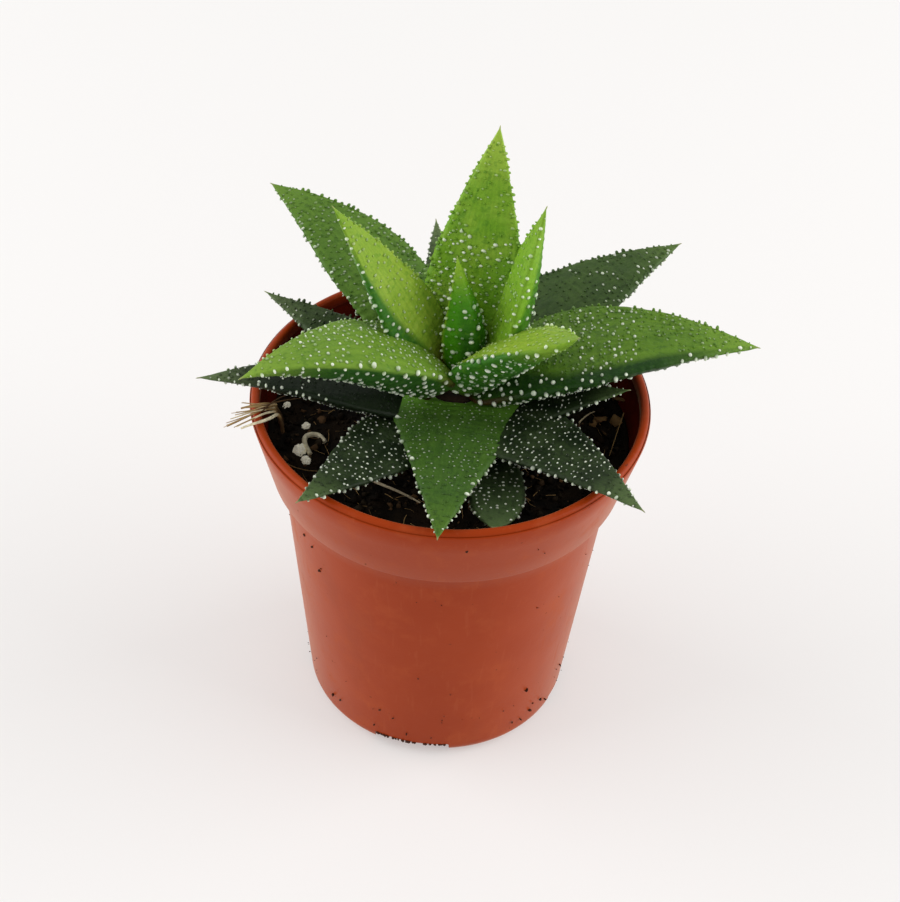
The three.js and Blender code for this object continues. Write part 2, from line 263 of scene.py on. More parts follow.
world = bpy.data.worlds.new("sky")
bpy.context.scene.world = world
world.use_nodes = True
sky = world.node_tree.nodes["Background"]
sky.inputs["Color"].default_value = (1.0, 0.995, 0.985, 1.0)
sky.inputs["Strength"].default_value = SKY_STRENGTH

for name, lamp in LAMPS.items():
    light = bpy.data.lights.new(name, "AREA")
    light.size = lamp["size"] * MM
    light.energy = lamp["watts"]
    holder = make_object(name, light)
    holder.location = TO_FRAME @ Vector(lamp["place"])
    aim = TO_FRAME @ CAMERA_TARGET - holder.location
    holder.rotation_euler = aim.to_track_quat("-Z", "Y").to_euler()
bpy.context.scene.view_settings.view_transform = "Standard"
print("lamps:", list(LAMPS))

# %% [markdown] Every finished piece goes through one helper.

# %% Finishing a piece
NEAR = 1e-5
made_triangles = {}


def finish_piece(bm, name, material, slot, replaces=(), turn_out=True):
    """Makes the visible piece of a bmesh in millimetres."""
    if turn_out:
        bmesh.ops.remove_doubles(bm, verts=bm.verts, dist=NEAR)
        bmesh.ops.recalc_face_normals(bm, faces=bm.faces)
    bm.transform(TO_FRAME)
    mesh = make_mesh(name, bm)
    mesh.shade_smooth()
    mesh.materials.append(material)
    piece = make_object(name, mesh)
    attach(piece, "root")
    if replaces:
        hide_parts(*replaces)
    mesh.calc_loop_triangles()
    made_triangles[name] = len(mesh.loop_triangles)
    return piece


# %% [markdown]
# ## The pot
#
# A nursery pot is one thin injection-moulded wall. It flares into a band at the rim, so that
# pots stack without jamming, and it stands on a ring with notches, which let the drain holes
# breathe. Its section is drawn as a chain of points and spun round the axis. The ring's
# notches and the holes are then cut with one Boolean, as the mould's cores would cut them.

# %% Pot: section and spin
POT = dict(
    height=82.2, rim=42.5, wall=1.0, lip=2.2, lip_depth=2.6, band=17.8, band_foot=38.2,
    neck=35.8, base=29.2, base_round=3.2, foot=2.4, floor=3.8,
)
# The lip on the rim, as steps inwards from the rim's radius and down from its height: a
# faint outer crease and a wide round ring
LIP = [
    (0, 1.25), (0.05, 0.98), (0.13, 0.84), (0.2, 1.1), (0.3, 1.1), (0.38, 0.62), (0.54, 0.34),
    (0.8, 0.12), (1.15, 0.01), (1.55, 0), (1.85, 0.1), (2.05, 0.28), (2.2, 0.62),
]
POT_STEPS = 192
FOOT_STEPS = 7
LONGEST_STRETCH = 6
SEAM_GAP = 1e-4
band_foot_height = POT["height"] - POT["band"]


def inner_wall(height):
    """The inner radius of the pot at a height."""
    if height > band_foot_height + POT["wall"]:
        low, high = (band_foot_height, POT["band_foot"]), (POT["height"], POT["rim"])
    else:
        low, high = (0, POT["base"]), (band_foot_height, POT["neck"])
    share = (height - low[0]) / (high[0] - low[0])
    return low[1] + share * (high[1] - low[1]) - POT["wall"]


def outer_wall(height):
    """The outer radius of the pot at a height."""
    return inner_wall(height + POT["wall"] * (height >= band_foot_height)) + POT["wall"]


def spin_round(bm, section, steps):
    """Spins an open chain of (radius, height) points round the axis into a closed shell."""
    chain = [bm.verts.new((radius, 0, height)) for radius, height in section]
    edges = [bm.edges.new(pair) for pair in zip(chain, chain[1:])]
    bmesh.ops.spin(
        bm, geom=chain + edges, cent=(0, 0, 0), axis=(0, 0, 1), angle=2 * math.pi,
        steps=steps, use_merge=True, use_duplicate=False,
    )
    bmesh.ops.remove_doubles(bm, verts=bm.verts, dist=SEAM_GAP)
    bmesh.ops.recalc_face_normals(bm, faces=bm.faces)


def between_points(section, longest):
    """Adds points to a section, so that no stretch of it is longer than asked."""
    dense = [section[0]]
    for start, end in zip(section, section[1:]):
        parts = max(1, math.ceil(math.dist(start, end) / longest))
        for part in range(1, parts + 1):
            share = part / parts
            dense.append(tuple(a + share * (b - a) for a, b in zip(start, end)))
    return dense


def quarter_round(radius, size):
    """The round of the foot: from the table up to the wall."""
    for step in range(FOOT_STEPS + 1):
        turn = step / FOOT_STEPS * math.pi / 2
        yield (radius - size + size * math.sin(turn), size - size * math.cos(turn))


# The section runs from the axis under the floor to the foot ring, up the outside and over
# the lip, and down the inside to the axis again. The small offsets ease its corners.
foot_inner = POT["base"] - POT["base_round"] - POT["foot"]
floor_top = POT["floor"] + POT["wall"]
lip_foot = POT["height"] - POT["lip_depth"]
pot_section = [
    (0, POT["floor"]),
    (foot_inner - 0.6, POT["floor"]),
    (foot_inner - 0.1, 0.4),
    (foot_inner + 0.3, 0),
    *quarter_round(POT["base"], POT["base_round"]),
    (POT["neck"] - 0.02, band_foot_height - 0.3),
    (POT["neck"] + 0.15, band_foot_height - 0.05),
    (POT["neck"] + 0.4, band_foot_height),
    (POT["band_foot"] - 0.35, band_foot_height),
    (POT["band_foot"] - 0.08, band_foot_height + 0.1),
    (POT["band_foot"] + 0.05, band_foot_height + 0.4),
    *((POT["rim"] - inwards, POT["height"] - down) for inwards, down in LIP),
    (POT["rim"] - POT["lip"], lip_foot),
    (inner_wall(lip_foot - 1.2), lip_foot - 1.2),
    (inner_wall(band_foot_height + 1.6), band_foot_height + 1.6),
    (POT["neck"] - POT["wall"] + 0.6, band_foot_height + 0.9),
    (POT["neck"] - POT["wall"], band_foot_height + 0.3),
    (inner_wall(floor_top + 1), floor_top + 1),
    (inner_wall(floor_top) - 1, floor_top),
    (0, floor_top),
]
bm = bmesh.new()
spin_round(bm, between_points(pot_section, LONGEST_STRETCH), POT_STEPS)
pot_mesh = make_mesh("pot_shell", bm)
print("points in the pot's section:", len(pot_section), "faces:", len(pot_mesh.polygons))

# %% [markdown]
# The cutters are plain blocks for the notches, with their upright sides a little rounded,
# and plain cylinders for the holes. The Boolean's exact solver copes with all of them at
# once. A number is then kept on each point of the inner wall, for its peat stain and its
# painted shade.

# %% Pot: notches and drain holes
NOTCH = dict(count=4, first=260.8, width=17, height=3.3, depth=6)
DRAIN = dict(count=6, radius=3, circle=17, segments=32)
NOTCH_ROUND = 0.4
# The peat stain and painted shade inside: its least share, and where it begins inwards and
# down from the rim's top edge
STAIN_AND_SHADE = dict(least=0.3, inwards=1.9, down=0.4, full_from=0.9)

bm = bmesh.new()
for turn in range(NOTCH["count"]):
    bearing = Matrix.Rotation(math.radians(NOTCH["first"] + turn * 360 / NOTCH["count"]), 4, "Z")
    size = Matrix.Diagonal((2 * NOTCH["depth"], NOTCH["width"], 2 * NOTCH["height"], 1))
    place = Matrix.Translation((POT["base"], 0, 0))
    bmesh.ops.create_cube(bm, size=1, matrix=bearing @ place @ size)
upright = [edge for edge in bm.edges if abs(edge.verts[0].co.z - edge.verts[1].co.z) < NEAR]
bmesh.ops.bevel(
    bm, geom=upright, offset=NOTCH_ROUND, segments=2, profile=0.5, affect="EDGES", material=-1,
    offset_type="OFFSET", clamp_overlap=True,
)
for hole in range(DRAIN["count"]):
    bearing = Matrix.Rotation((hole + 0.5) * 2 * math.pi / DRAIN["count"], 4, "Z")
    place = Matrix.Translation((DRAIN["circle"], 0, POT["floor"] + POT["wall"] / 2))
    bmesh.ops.create_cone(
        bm, cap_ends=True, segments=DRAIN["segments"], radius1=DRAIN["radius"],
        radius2=DRAIN["radius"], depth=4 * POT["wall"], matrix=bearing @ place,
    )
cutter_mesh = make_mesh("pot_cutters", bm)


def cut_away(mesh, cutter):
    """The mesh less the cutter, as a new bmesh."""
    whole = make_object("whole", mesh)
    tool = make_object("tool", cutter)
    boolean = whole.modifiers.new("cut", "BOOLEAN")
    boolean.operation = "DIFFERENCE"
    boolean.solver = "EXACT"
    boolean.object = tool
    bpy.context.view_layer.update()
    result = whole.evaluated_get(bpy.context.evaluated_depsgraph_get()).to_mesh()
    cut = bmesh.new()
    cut.from_mesh(result)
    for used in (whole, tool):
        bpy.data.objects.remove(used)
    return cut


def smooth_step(value, low, high):
    """Nought below low, one above high, and a smooth step from one to the other."""
    share = min(1, max(0, (value - low) / (high - low)))
    return share * share * (3 - 2 * share)


pot_bm = cut_away(pot_mesh, cutter_mesh)
# Each point of the inner wall gets a share of peat stain and painted shade
stain_and_shade = pot_bm.verts.layers.float.new("stain_and_shade")
for vert in pot_bm.verts:
    inwards = POT["rim"] - vert.co.xy.length
    down = POT["height"] - vert.co.z
    inner_half = vert.co.xy.length < outer_wall(vert.co.z) - 0.5 * POT["wall"]
    in_reach = inwards > STAIN_AND_SHADE["inwards"] and down > STAIN_AND_SHADE["down"] and vert.co.z > floor_top
    deeper = smooth_step(down, STAIN_AND_SHADE["full_from"], POT["lip_depth"])
    wall_stain_and_shade = STAIN_AND_SHADE["least"] + (1 - STAIN_AND_SHADE["least"]) * deeper
    vert[stain_and_shade] = wall_stain_and_shade * (inner_half and in_reach)
print("pot faces after the cuts:", len(pot_bm.faces))

# %% [markdown]
# The plastic is coloured all through with an orange-brown pigment. It has a soft gloss from
# the mould, faint cloudy flow, rubbed patches, fine scratches from handling, smears, and
# dark splashes of peat. All of that is worked out from the pot's own coordinates, and only
# the base colour, the roughness and the normal change over it. The number kept on the
# points darkens the inner side of the lip: partly a stain of peat, partly painted shade for
# the inside of the pot.

# %% Pot: finish
CREASE_DEGREES = 38

pot_plastic = Finish(
    "pot_plastic", IOR=1.2, Sheen_Weight=0.30, Sheen_Roughness=0.35,
    Sheen_Tint=(1.0, 0.64, 0.40, 1.0),
)
cloud = pot_plastic.grain(22, detail=4)
scratch = pot_plastic.grain(1.1, detail=2, stretch=(1, 1, 0.08)).between(0.60, 0.72)
rubbed = pot_plastic.grain(9, detail=5, roughness=0.7).between(0.50, 0.72)
splash = pot_plastic.grain(1.6, detail=2).between(0.735, 0.76)
smear = pot_plastic.grain(15, detail=4, stretch=(1, 1, 0.5)).between(0.58, 0.72)
plastic_tone = pot_plastic.mix(cloud, (0.265, 0.025, 0.001), (0.350, 0.042, 0.003))
plastic_tone = pot_plastic.mix(rubbed * 0.16, plastic_tone, (0.52, 0.12, 0.035))
plastic_tone = pot_plastic.mix(scratch * 0.05, plastic_tone, (0.64, 0.22, 0.11))
plastic_tone = pot_plastic.mix(smear * 0.16, plastic_tone, (0.20, 0.030, 0.008))
plastic_tone = pot_plastic.mix(splash * 0.55, plastic_tone, (0.05, 0.022, 0.012))
# The inner wall darkens to a deep red: peat stain and painted shade
stain_and_shade_share = pot_plastic.attribute("stain_and_shade")
plastic_tone = pot_plastic.mix(stain_and_shade_share, plastic_tone, (0.170, 0.010, 0.003))
plastic_gloss = 0.34 + rubbed * 0.12 + splash * 0.3 + scratch * 0.08
moulding = pot_plastic.bump(pot_plastic.grain(0.7, detail=2), 0.012)
moulding = pot_plastic.bump(pot_plastic.grain(12, detail=2), 0.12, under=moulding)
pot_plastic.wear(Base_Color=plastic_tone, Roughness=plastic_gloss, Normal=moulding)
pot_piece = finish_piece(
    pot_bm, "nursery_pot", pot_plastic.material, "pot_plastic", replaces=["pot"],
)


def sharp_where_steep(piece, degrees):
    """Keeps the edges that fold by more than so many degrees crisp."""
    limit = math.radians(degrees)
    bm = bmesh.new()
    bm.from_mesh(piece.data)
    for edge in bm.edges:
        edge.smooth = not (edge.is_manifold and edge.calc_face_angle() > limit)
    bm.to_mesh(piece.data)
    bm.free()


sharp_where_steep(pot_piece, CREASE_DEGREES)
print("pot triangles:", made_triangles["nursery_pot"])

# %% [markdown]
# Inside, between the lip and the peat, the wall is dull and dark: partly stained by wet peat
# dust, partly painted shade for the inside of the pot. It gets a finish of its own, because
# the bloom of the outer wall is one number for a whole material and can't fade there.

# %% Pot: the wall inside
ALL_STAIN_AND_SHADE = 0.9

# The wall inside is darker than the outer wall: peat stain and painted shade
pot_inside = Finish("pot_inside", IOR=1.2, Specular_IOR_Level=0.2)
dust_film = pot_inside.grain(5, detail=4).between(0.35, 0.65)
pot_inside.wear(
    Base_Color=pot_inside.mix(dust_film, (0.150, 0.010, 0.003), (0.100, 0.011, 0.004)),
    Roughness=0.65 + dust_film * 0.2,
)
pot_piece.data.materials.append(pot_inside.material)
stain_and_shade_on_points = pot_piece.data.attributes["stain_and_shade"].data
for polygon in pot_piece.data.polygons:
    inside = all(stain_and_shade_on_points[point].value > ALL_STAIN_AND_SHADE for point in polygon.vertices)
    polygon.material_index = 1 if inside else 0
inside_faces = sum(polygon.material_index for polygon in pot_piece.data.polygons)
print("faces inside the pot:", inside_faces)

# %% [markdown]
# ## The soil
#
# Peat fills the pot to about 11 mm under the rim. Its body is spun like the pot, and the
# points of its top are then lifted by cloud noise at three sizes, which gives clods, lumps
# and crumbs. One function gives the height at any spot, so that whatever lies on the peat
# later can ask it where to rest.

# %% Soil: body
SOIL = dict(wall_level=71.5, middle_level=70.5, gap=0.3, lump=0.9, ring_step=0.62, steps=176)
# The clods, lumps and crumbs of the peat: their size, their share and their own level in
# the noise
BUMPS = [(9, 0.8, 3.1), (3.2, 0.75, 7.7), (1.3, 0.4, 1.9)]
CALM_RING = 2
LEAST_BUMPY = 0.15
soil_rim = inner_wall(SOIL["wall_level"]) - SOIL["gap"]


def soil_level(radius):
    """The level of the peat at a radius, without its bumps."""
    share = min(1, radius / soil_rim)
    return SOIL["middle_level"] + (SOIL["wall_level"] - SOIL["middle_level"]) * share**2


def soil_height(x, y):
    """The level of the peat at a spot, bumps and all."""
    radius = math.hypot(x, y)
    bumps = sum(
        share * noise.noise(Vector((x / size, y / size, level))) for size, share, level in BUMPS
    )
    bumpy = max(LEAST_BUMPY, min(1, (soil_rim - radius) / CALM_RING))
    return soil_level(radius) + bumpy * SOIL["lump"] * bumps


# The section keeps a gap to the wall all the way up, and its top is cut into many rings
ring_count = round(soil_rim / SOIL["ring_step"])
soil_bottom = floor_top + SOIL["gap"]
soil_section = [
    (0, soil_bottom),
    (inner_wall(soil_bottom) - 1.5, soil_bottom),
    (inner_wall(soil_bottom + 1) - SOIL["gap"], soil_bottom + 1),
    (POT["neck"] - POT["wall"] - SOIL["gap"], band_foot_height + 0.9),
    (inner_wall(band_foot_height + 1.2) - SOIL["gap"], band_foot_height + 1.56),
]
soil_section += [
    (soil_rim * ring / ring_count, SOIL["wall_level"]) for ring in range(ring_count, -1, -1)
]
soil_bm = bmesh.new()
spin_round(soil_bm, soil_section, SOIL["steps"])
for vert in soil_bm.verts:
    if vert.co.z > SOIL["wall_level"] - NEAR:
        vert.co.z = soil_height(vert.co.x, vert.co.y)
print("soil faces:", len(soil_bm.faces), "rim radius:", round(soil_rim, 2))

# %% [markdown]
# Wet peat is nearly black, with dry fibres and specks of bark that catch the light. The
# crumbs get a number each, `tone`, which the finish turns into their shade, so that one
# material serves the whole bed.

# %% Soil: finish
PEAT_BLACK = (0.0045, 0.0035, 0.0022)
PEAT_BROWN = (0.018, 0.011, 0.006)
BARK_BROWN = (0.11, 0.060, 0.028)
BARK_TAN = (0.34, 0.19, 0.075)


def peat_finish(name, toned):
    """Dark peat. Loose crumbs take their shade from their own tone."""
    peat = Finish(name, Specular_IOR_Level=0.10)
    damp = peat.grain(4, detail=5).between(0.35, 0.7)
    fibre = peat.grain(0.5, detail=3).between(0.62, 0.74)
    shade = peat.mix(damp, PEAT_BLACK, PEAT_BROWN)
    shade = peat.mix(fibre * 0.25, shade, (0.055, 0.032, 0.017))
    if toned:
        tone = peat.attribute("tone")
        shade = peat.mix(tone.between(0.35, 0.80), shade, (0.030, 0.021, 0.012))
        shade = peat.mix(tone.between(0.84, 0.92), shade, BARK_BROWN)
        shade = peat.mix(tone.between(0.94, 1.0), shade, BARK_TAN)
    rough = 0.72 + damp * 0.2
    relief = peat.bump(peat.grain(0.45, detail=4, roughness=0.7), 0.12)
    return peat.wear(Base_Color=shade, Roughness=rough, Normal=relief)


finish_piece(
    soil_bm, "peat_bed", peat_finish("peat", toned=False), "soil_mix",
    replaces=["soil"], turn_out=False,
)
print("soil triangles:", made_triangles["peat_bed"])

# %% [markdown]
# ## The leaves
#
# Every leaf is a long boat: nearly flat above, deep and keeled below, widest in its lower
# third and drawn out to a point. Its middle line starts on the stem, sets out at a bearing
# and an angle of rise, and bends on its way. The same few numbers as in the packed solids
# give each leaf here, so that the fine leaf fills the space of its solid.

# %% Leaves: their measures
# The base is where the middle line starts. The azimuth is its bearing, and sway turns it on
# the way. Rise is its first angle, bend is added by the tip, and tip_lift only near the tip.
# Widest and foot_round are shares of the length, and foot is one of the width. Roll turns
# the leaf about its middle line, and a high taper keeps it wide for longer.
LEAVES = {
    "leaf_crown": dict(
        base=(2.5, 3.5, 85), azimuth=299, rise=97, bend=10, length=28, width=10,
        thickness=6, widest=0.35),
    "leaf_young_left": dict(
        base=(-0.7, 3, 84), azimuth=175, rise=65, bend=-12, length=49, width=16,
        thickness=7, widest=0.35, roll=-26),
    "leaf_young_right": dict(
        base=(4.3, 4, 81.5), azimuth=25, rise=74, bend=-4, length=46, width=17,
        thickness=7, widest=0.35, roll=-12),
    "leaf_young_front": dict(
        base=(-0.1, 1.4, 86.2), azimuth=328, rise=61.5, bend=-46, length=39.6, width=17.5,
        thickness=7.5, widest=0.45, foot=0.66, roll=-8, tip_lift=26, taper=3),
    "leaf_tall_back": dict(
        base=(1.5, 5, 85), azimuth=72, rise=71, bend=0, length=54, width=21,
        thickness=7, widest=0.34, taper=1.5),
    "leaf_left": dict(
        base=(-0.2, 0.9, 87.2), azimuth=208, rise=54, bend=-74, length=53.5, width=20.5,
        thickness=10, widest=0.43, foot=0.58, roll=5),
    "leaf_right": dict(
        base=(3, 2.5, 83), azimuth=2.5, rise=37.5, bend=-52, length=64.5, width=27,
        thickness=9, widest=0.4, foot=0.58, roll=-3, taper=1.7),
    "leaf_front": dict(
        base=(1.9, 1, 81.5), azimuth=266.5, rise=9.4, bend=-10, length=48, width=30,
        thickness=7, widest=0.08, taper=1.15, foot_round=0.02),
    "leaf_back_left": dict(
        base=(-1.2, 7.3, 81), azimuth=130.5, rise=42, bend=-44, sway=13, length=61,
        width=21.5, thickness=8, widest=0.47, taper=1.6),
    "leaf_back_right": dict(
        base=(4, 6.5, 80), azimuth=37, rise=34, bend=-38, length=59, width=25,
        thickness=8, widest=0.33),
    "leaf_outer_left": dict(
        base=(-3, 2, 77), azimuth=195, rise=34, bend=-34, length=54, width=17,
        thickness=6, widest=0.35),
    "leaf_outer_back_left": dict(
        base=(-2.5, 4, 77), azimuth=151, rise=20, bend=-16, length=46, width=16,
        thickness=6, widest=0.35),
    "leaf_outer_front_right": dict(
        base=(3, 0, 78), azimuth=316, rise=24, bend=-32, length=52.5, width=21,
        thickness=6, widest=0.3),
    "leaf_outer_right": dict(
        base=(3.5, 1, 74), azimuth=350, rise=35, bend=-18, length=38, width=18,
        thickness=5, widest=0.3),
    "leaf_outer_front_left": dict(
        base=(-1, -0.5, 79.4), azimuth=233.7, rise=7.6, bend=0, length=48.4, width=18,
        thickness=4.4, widest=0.38),
    "leaf_outer_back": dict(
        base=(0.5, 5, 78), azimuth=98, rise=25, bend=-15, length=45.9, width=14,
        thickness=6, widest=0.35),
    "leaf_hidden_back": dict(
        base=(2.5, 5, 76), azimuth=66, rise=12, bend=-8, length=34, width=14,
        thickness=5, widest=0.35),
    "leaf_outer_front": dict(
        base=(2.5, -1, 74.5), azimuth=302, rise=11, bend=-8, sway=-40, length=37.5,
        width=12, thickness=5, widest=0.55, taper=5),
}
print("leaves:", len(LEAVES))

# %% [markdown]
# A class keeps one leaf's middle line and answers two questions: where is the skin at a
# share `along` of the length and a `turn` round the section, and which way does it face
# there. A turn of 0 is one margin and 1 the other. From 0 to 1 it crosses the upper face,
# and from 1 to 2 the keeled one below. Rounding the section by a small radius takes the
# knife edge off. The foot of a leaf, deep in the rosette, draws in round to where it grew
# from the stem.

# %% Leaves: the skin as a formula
SPINE_STEPS = 160
MARGIN_ROUND = 0.32
MARGIN_SHARE = 0.4
TIP_REACH = 0.42
TIP_FINE = 0.12
LIFT_FROM = 0.75
FOOT_END = 0.25
LEAST_HALF_WIDTH = 0.12
LEAST_DEPTH = 0.25
DEEPEST = 0.3
FOOT_DEPTH = 0.75
DEPTH_POWER = 1.8
# The section: how much of it goes by the cosine, the rise of the upper face, and the powers
# that fill out the keel
COSINE_SHARE = 0.4
UPPER_RISE = 0.08
KEEL_SPREAD = 1.5
KEEL_POWER = 0.85
FACING_STEP = 0.03


class LeafShape:
    """One leaf's middle line and the skin round it."""

    def __init__(self, base, azimuth, rise, bend, length, width, thickness, widest,
                 sway=0, roll=0, foot=0.86, foot_round=0.10, tip_lift=0, taper=1.35):
        self.length = length
        self.width = width
        self.thickness = thickness
        self.widest = widest
        self.foot = foot
        self.foot_round = foot_round
        self.taper = taper
        self.frames = []
        point = Vector(base)
        for step in range(SPINE_STEPS + 1):
            share = step / SPINE_STEPS
            late = max(0, (share - LIFT_FROM) / (1 - LIFT_FROM))
            rising = math.radians(rise + bend * share + tip_lift * late**2)
            bearing = math.radians(azimuth + sway * share)
            level = Vector((math.cos(bearing), math.sin(bearing), 0))
            direction = math.cos(rising) * level + Vector((0, 0, math.sin(rising)))
            side = Vector((-math.sin(bearing), math.cos(bearing), 0))
            side = Matrix.Rotation(math.radians(roll), 3, direction) @ side
            self.frames.append((point.copy(), direction, side, direction.cross(side)))
            point = point + direction * (length / SPINE_STEPS)

    def frame(self, along):
        """The middle line's place, direction, side and upper face at a share of the length."""
        step = min(max(along, 0), 1) * SPINE_STEPS
        first = min(int(step), SPINE_STEPS - 1)
        share = step - first
        pairs = zip(self.frames[first], self.frames[first + 1])
        return [before.lerp(after, share) for before, after in pairs]

    def half_width(self, along):
        """Half the leaf's width at a share of its length."""
        if along < self.widest:
            rising = math.sin(along / self.widest * math.pi / 2)
            share = self.foot + (1 - self.foot) * rising
            early = max(0, 1 - along / self.foot_round)
            share *= FOOT_END + (1 - FOOT_END) * math.sqrt(1 - early**2)
        else:
            past = (along - self.widest) / (1 - self.widest)
            share = (1 - past**self.taper) * (1 - TIP_FINE * past)
        return max(LEAST_HALF_WIDTH, 0.5 * self.width * share)

    def depth(self, along):
        """The leaf's thickness at a share of its length."""
        rising = math.sin(min(1, along / DEEPEST) * math.pi / 2)
        past = max(0, (along - DEEPEST) / (1 - DEEPEST))
        filled = FOOT_DEPTH + (1 - FOOT_DEPTH) * rising
        return max(LEAST_DEPTH, self.thickness * filled * (1 - past**DEPTH_POWER))

    def section(self, along, turn):
        """The skin's place across the leaf: sideways and upwards."""
        turn = turn % 2
        half, depth = self.half_width(along), self.depth(along)
        round_by = min(MARGIN_ROUND, MARGIN_SHARE * half, MARGIN_SHARE * depth)
        even = 1 - 2 * turn if turn <= 1 else 2 * turn - 3
        across = COSINE_SHARE * math.cos(turn * math.pi) + (1 - COSINE_SHARE) * even
        upper = UPPER_RISE * (1 - across**2)
        lower = -(max(0, 1 - abs(across) ** KEEL_SPREAD) ** KEEL_POWER)
        rise = (depth - 2 * round_by) * (upper if turn <= 1 else lower)
        return Vector(((half - round_by) * across, rise - round_by)), round_by

    def facing(self, along, turn):
        """The outward direction of the section, sideways and upwards."""
        before, _ = self.section(along, turn - FACING_STEP)
        after, _ = self.section(along, turn + FACING_STEP)
        way = (after - before).normalized()
        return Vector((way.y, -way.x))

    def skin(self, along, turn, proud=0):
        """A point on the skin, or proud of it by some millimetres, and its normal."""
        point, direction, side, up = self.frame(along)
        across, round_by = self.section(along, turn)
        facing = self.facing(along, turn)
        across = across + facing * (round_by + proud)
        normal = (side * facing.x + up * facing.y).normalized()
        return point + side * across.x + up * across.y, normal


shapes = {name: LeafShape(**measures) for name, measures in LEAVES.items()}
print("longest leaf:", max(shape.length for shape in shapes.values()), "mm")

# %% [markdown]
# The blade starts as a capped cylinder. Its upright edges are subdivided into many rings,
# and each point is then set on the skin. Low swellings and fine cross ridges from noise are
# part of the mesh, because they show at the margins. Four numbers are kept on each point
# for the finish: how far along the leaf it is, how far across, how much it takes of the
# under side's dark colour, and how pearly.

# %% Leaves: the blade
RING_STEP = 0.55
AROUND = 52
CAP_DROP = 0.4
KEEL_TURN = 1.5
LAYERS = ("along", "across", "under", "pearl")
WRAP_EDGE = 0.10
# Where the under side's dark colour is laid over the upper face at a margin: which margin,
# the share of the upper face that it takes at the foot, how far along the leaf it reaches,
# and its least share. On the right leaf it is also painted shade, from the young front leaf.
WRAPS = {
    "leaf_young_left": (0, 0.55, 0.80, 0),
    "leaf_young_right": (1, 0.30, 0.60, 0),
    "leaf_right": (1, 0.60, 0.50, 0.17),
    "leaf_young_front": (1, 0.30, 0.90, 0),
}
# Where the pale tissue of the upper face goes round that margin, as a share at the tip
PALE_ROUND = {"leaf_young_right": 0.32}
# The cross ridges: the step between them, how far they wander and over what length, the
# patches that they stand in, and their height, with the leaves where it isn't the usual one
RIDGES = dict(
    step=1.9, wander=1.6, wander_size=4, patch_size=5, patch_start=Vector((9, 4, 2)),
    patch_cover=0.35, usual=0.22,
)
RIDGED = {
    "leaf_back_left": 0.42, "leaf_back_right": 0.62, "leaf_front": 0.32, "leaf_right": 0.28,
    "leaf_tall_back": 0.30,
}
# The relief fades over the last sixth of the length, and where the leaf is narrow
CALM_TIP = 6
CALM_HALF_WIDTH = 3


def leaf_layers(bm):
    """The four numbers that are kept on the points of a leaf."""
    return {name: bm.verts.layers.float.new(name) for name in LAYERS}


def wrapped(name, along, turn):
    """How much the skin takes the under side's dark colour, from nought to one."""
    turn = turn % 2
    if name not in WRAPS:
        return float(turn > 1)
    margin, share, until, least = WRAPS[name]
    pale = PALE_ROUND.get(name, 0)
    if turn > 1 and not pale:
        return 1.0
    limit = max(least, share * (1 - along / until)) - pale * along
    inward = 1 - turn if margin else turn - 2 * (turn > 1)
    return min(1, max(0, 0.5 + (limit - inward) / WRAP_EDGE))


def clouds(spot, size, height, start=Vector()):
    """Cloud noise above and below nought, with a size for its blotches and a height."""
    return height * noise.noise(spot / size + start)


def relief(name, shape, along, spot):
    """Swellings and cross ridges on the bare skin, in millimetres."""
    calm = min(1, CALM_TIP * (1 - along))
    calm *= min(1, shape.half_width(along) / CALM_HALF_WIDTH)
    swell = clouds(spot, size=6, height=0.25) + clouds(spot, size=2, height=0.10)
    patch = clouds(spot, RIDGES["patch_size"], 1, RIDGES["patch_start"])
    patch = max(0, patch + RIDGES["patch_cover"])
    wander = clouds(spot, RIDGES["wander_size"], RIDGES["wander"])
    wave = math.sin(2 * math.pi * along * shape.length / RIDGES["step"] + wander)
    ridge = RIDGED.get(name, RIDGES["usual"]) * patch * max(0, wave)
    return calm * (swell + ridge + clouds(spot, size=0.8, height=0.07))


def make_blade(name, shape):
    """A leaf's closed skin without its pearls, and the numbers on its points."""
    bm = bmesh.new()
    layers = leaf_layers(bm)
    rings = round(shape.length / RING_STEP)
    bmesh.ops.create_cone(
        bm, cap_ends=True, cap_tris=True, segments=AROUND, radius1=1, radius2=1, depth=1,
    )
    uprights = [edge for edge in bm.edges if abs(edge.verts[0].co.z - edge.verts[1].co.z) > 0.5]
    bmesh.ops.subdivide_edges(bm, edges=uprights, cuts=rings - 1)
    for vert in bm.verts:
        along = vert.co.z + 0.5
        if vert.co.xy.length < 0.5:
            point, direction, side, up = shape.frame(along)
            reach = direction * (TIP_REACH * round(along))
            vert.co = point + reach - up * CAP_DROP * shape.depth(along)
            turn = KEEL_TURN
        else:
            turn = math.atan2(vert.co.y, vert.co.x) / math.pi % 2
            spot, _ = shape.skin(along, turn)
            vert.co, _ = shape.skin(along, turn, relief(name, shape, along, spot))
        vert[layers["along"]] = along
        vert[layers["across"]] = math.cos(turn * math.pi)
        vert[layers["under"]] = wrapped(name, along, turn)
    bmesh.ops.recalc_face_normals(bm, faces=bm.faces)
    if bm.calc_volume(signed=True) < 0:
        bmesh.ops.reverse_faces(bm, faces=bm.faces)
    return bm, layers


blades = {name: make_blade(name, shape) for name, shape in shapes.items()}
skins = {name: BVHTree.FromBMesh(blade) for name, (blade, _) in blades.items()}
print("blade faces:", sum(len(blade.faces) for blade, _ in blades.values()))
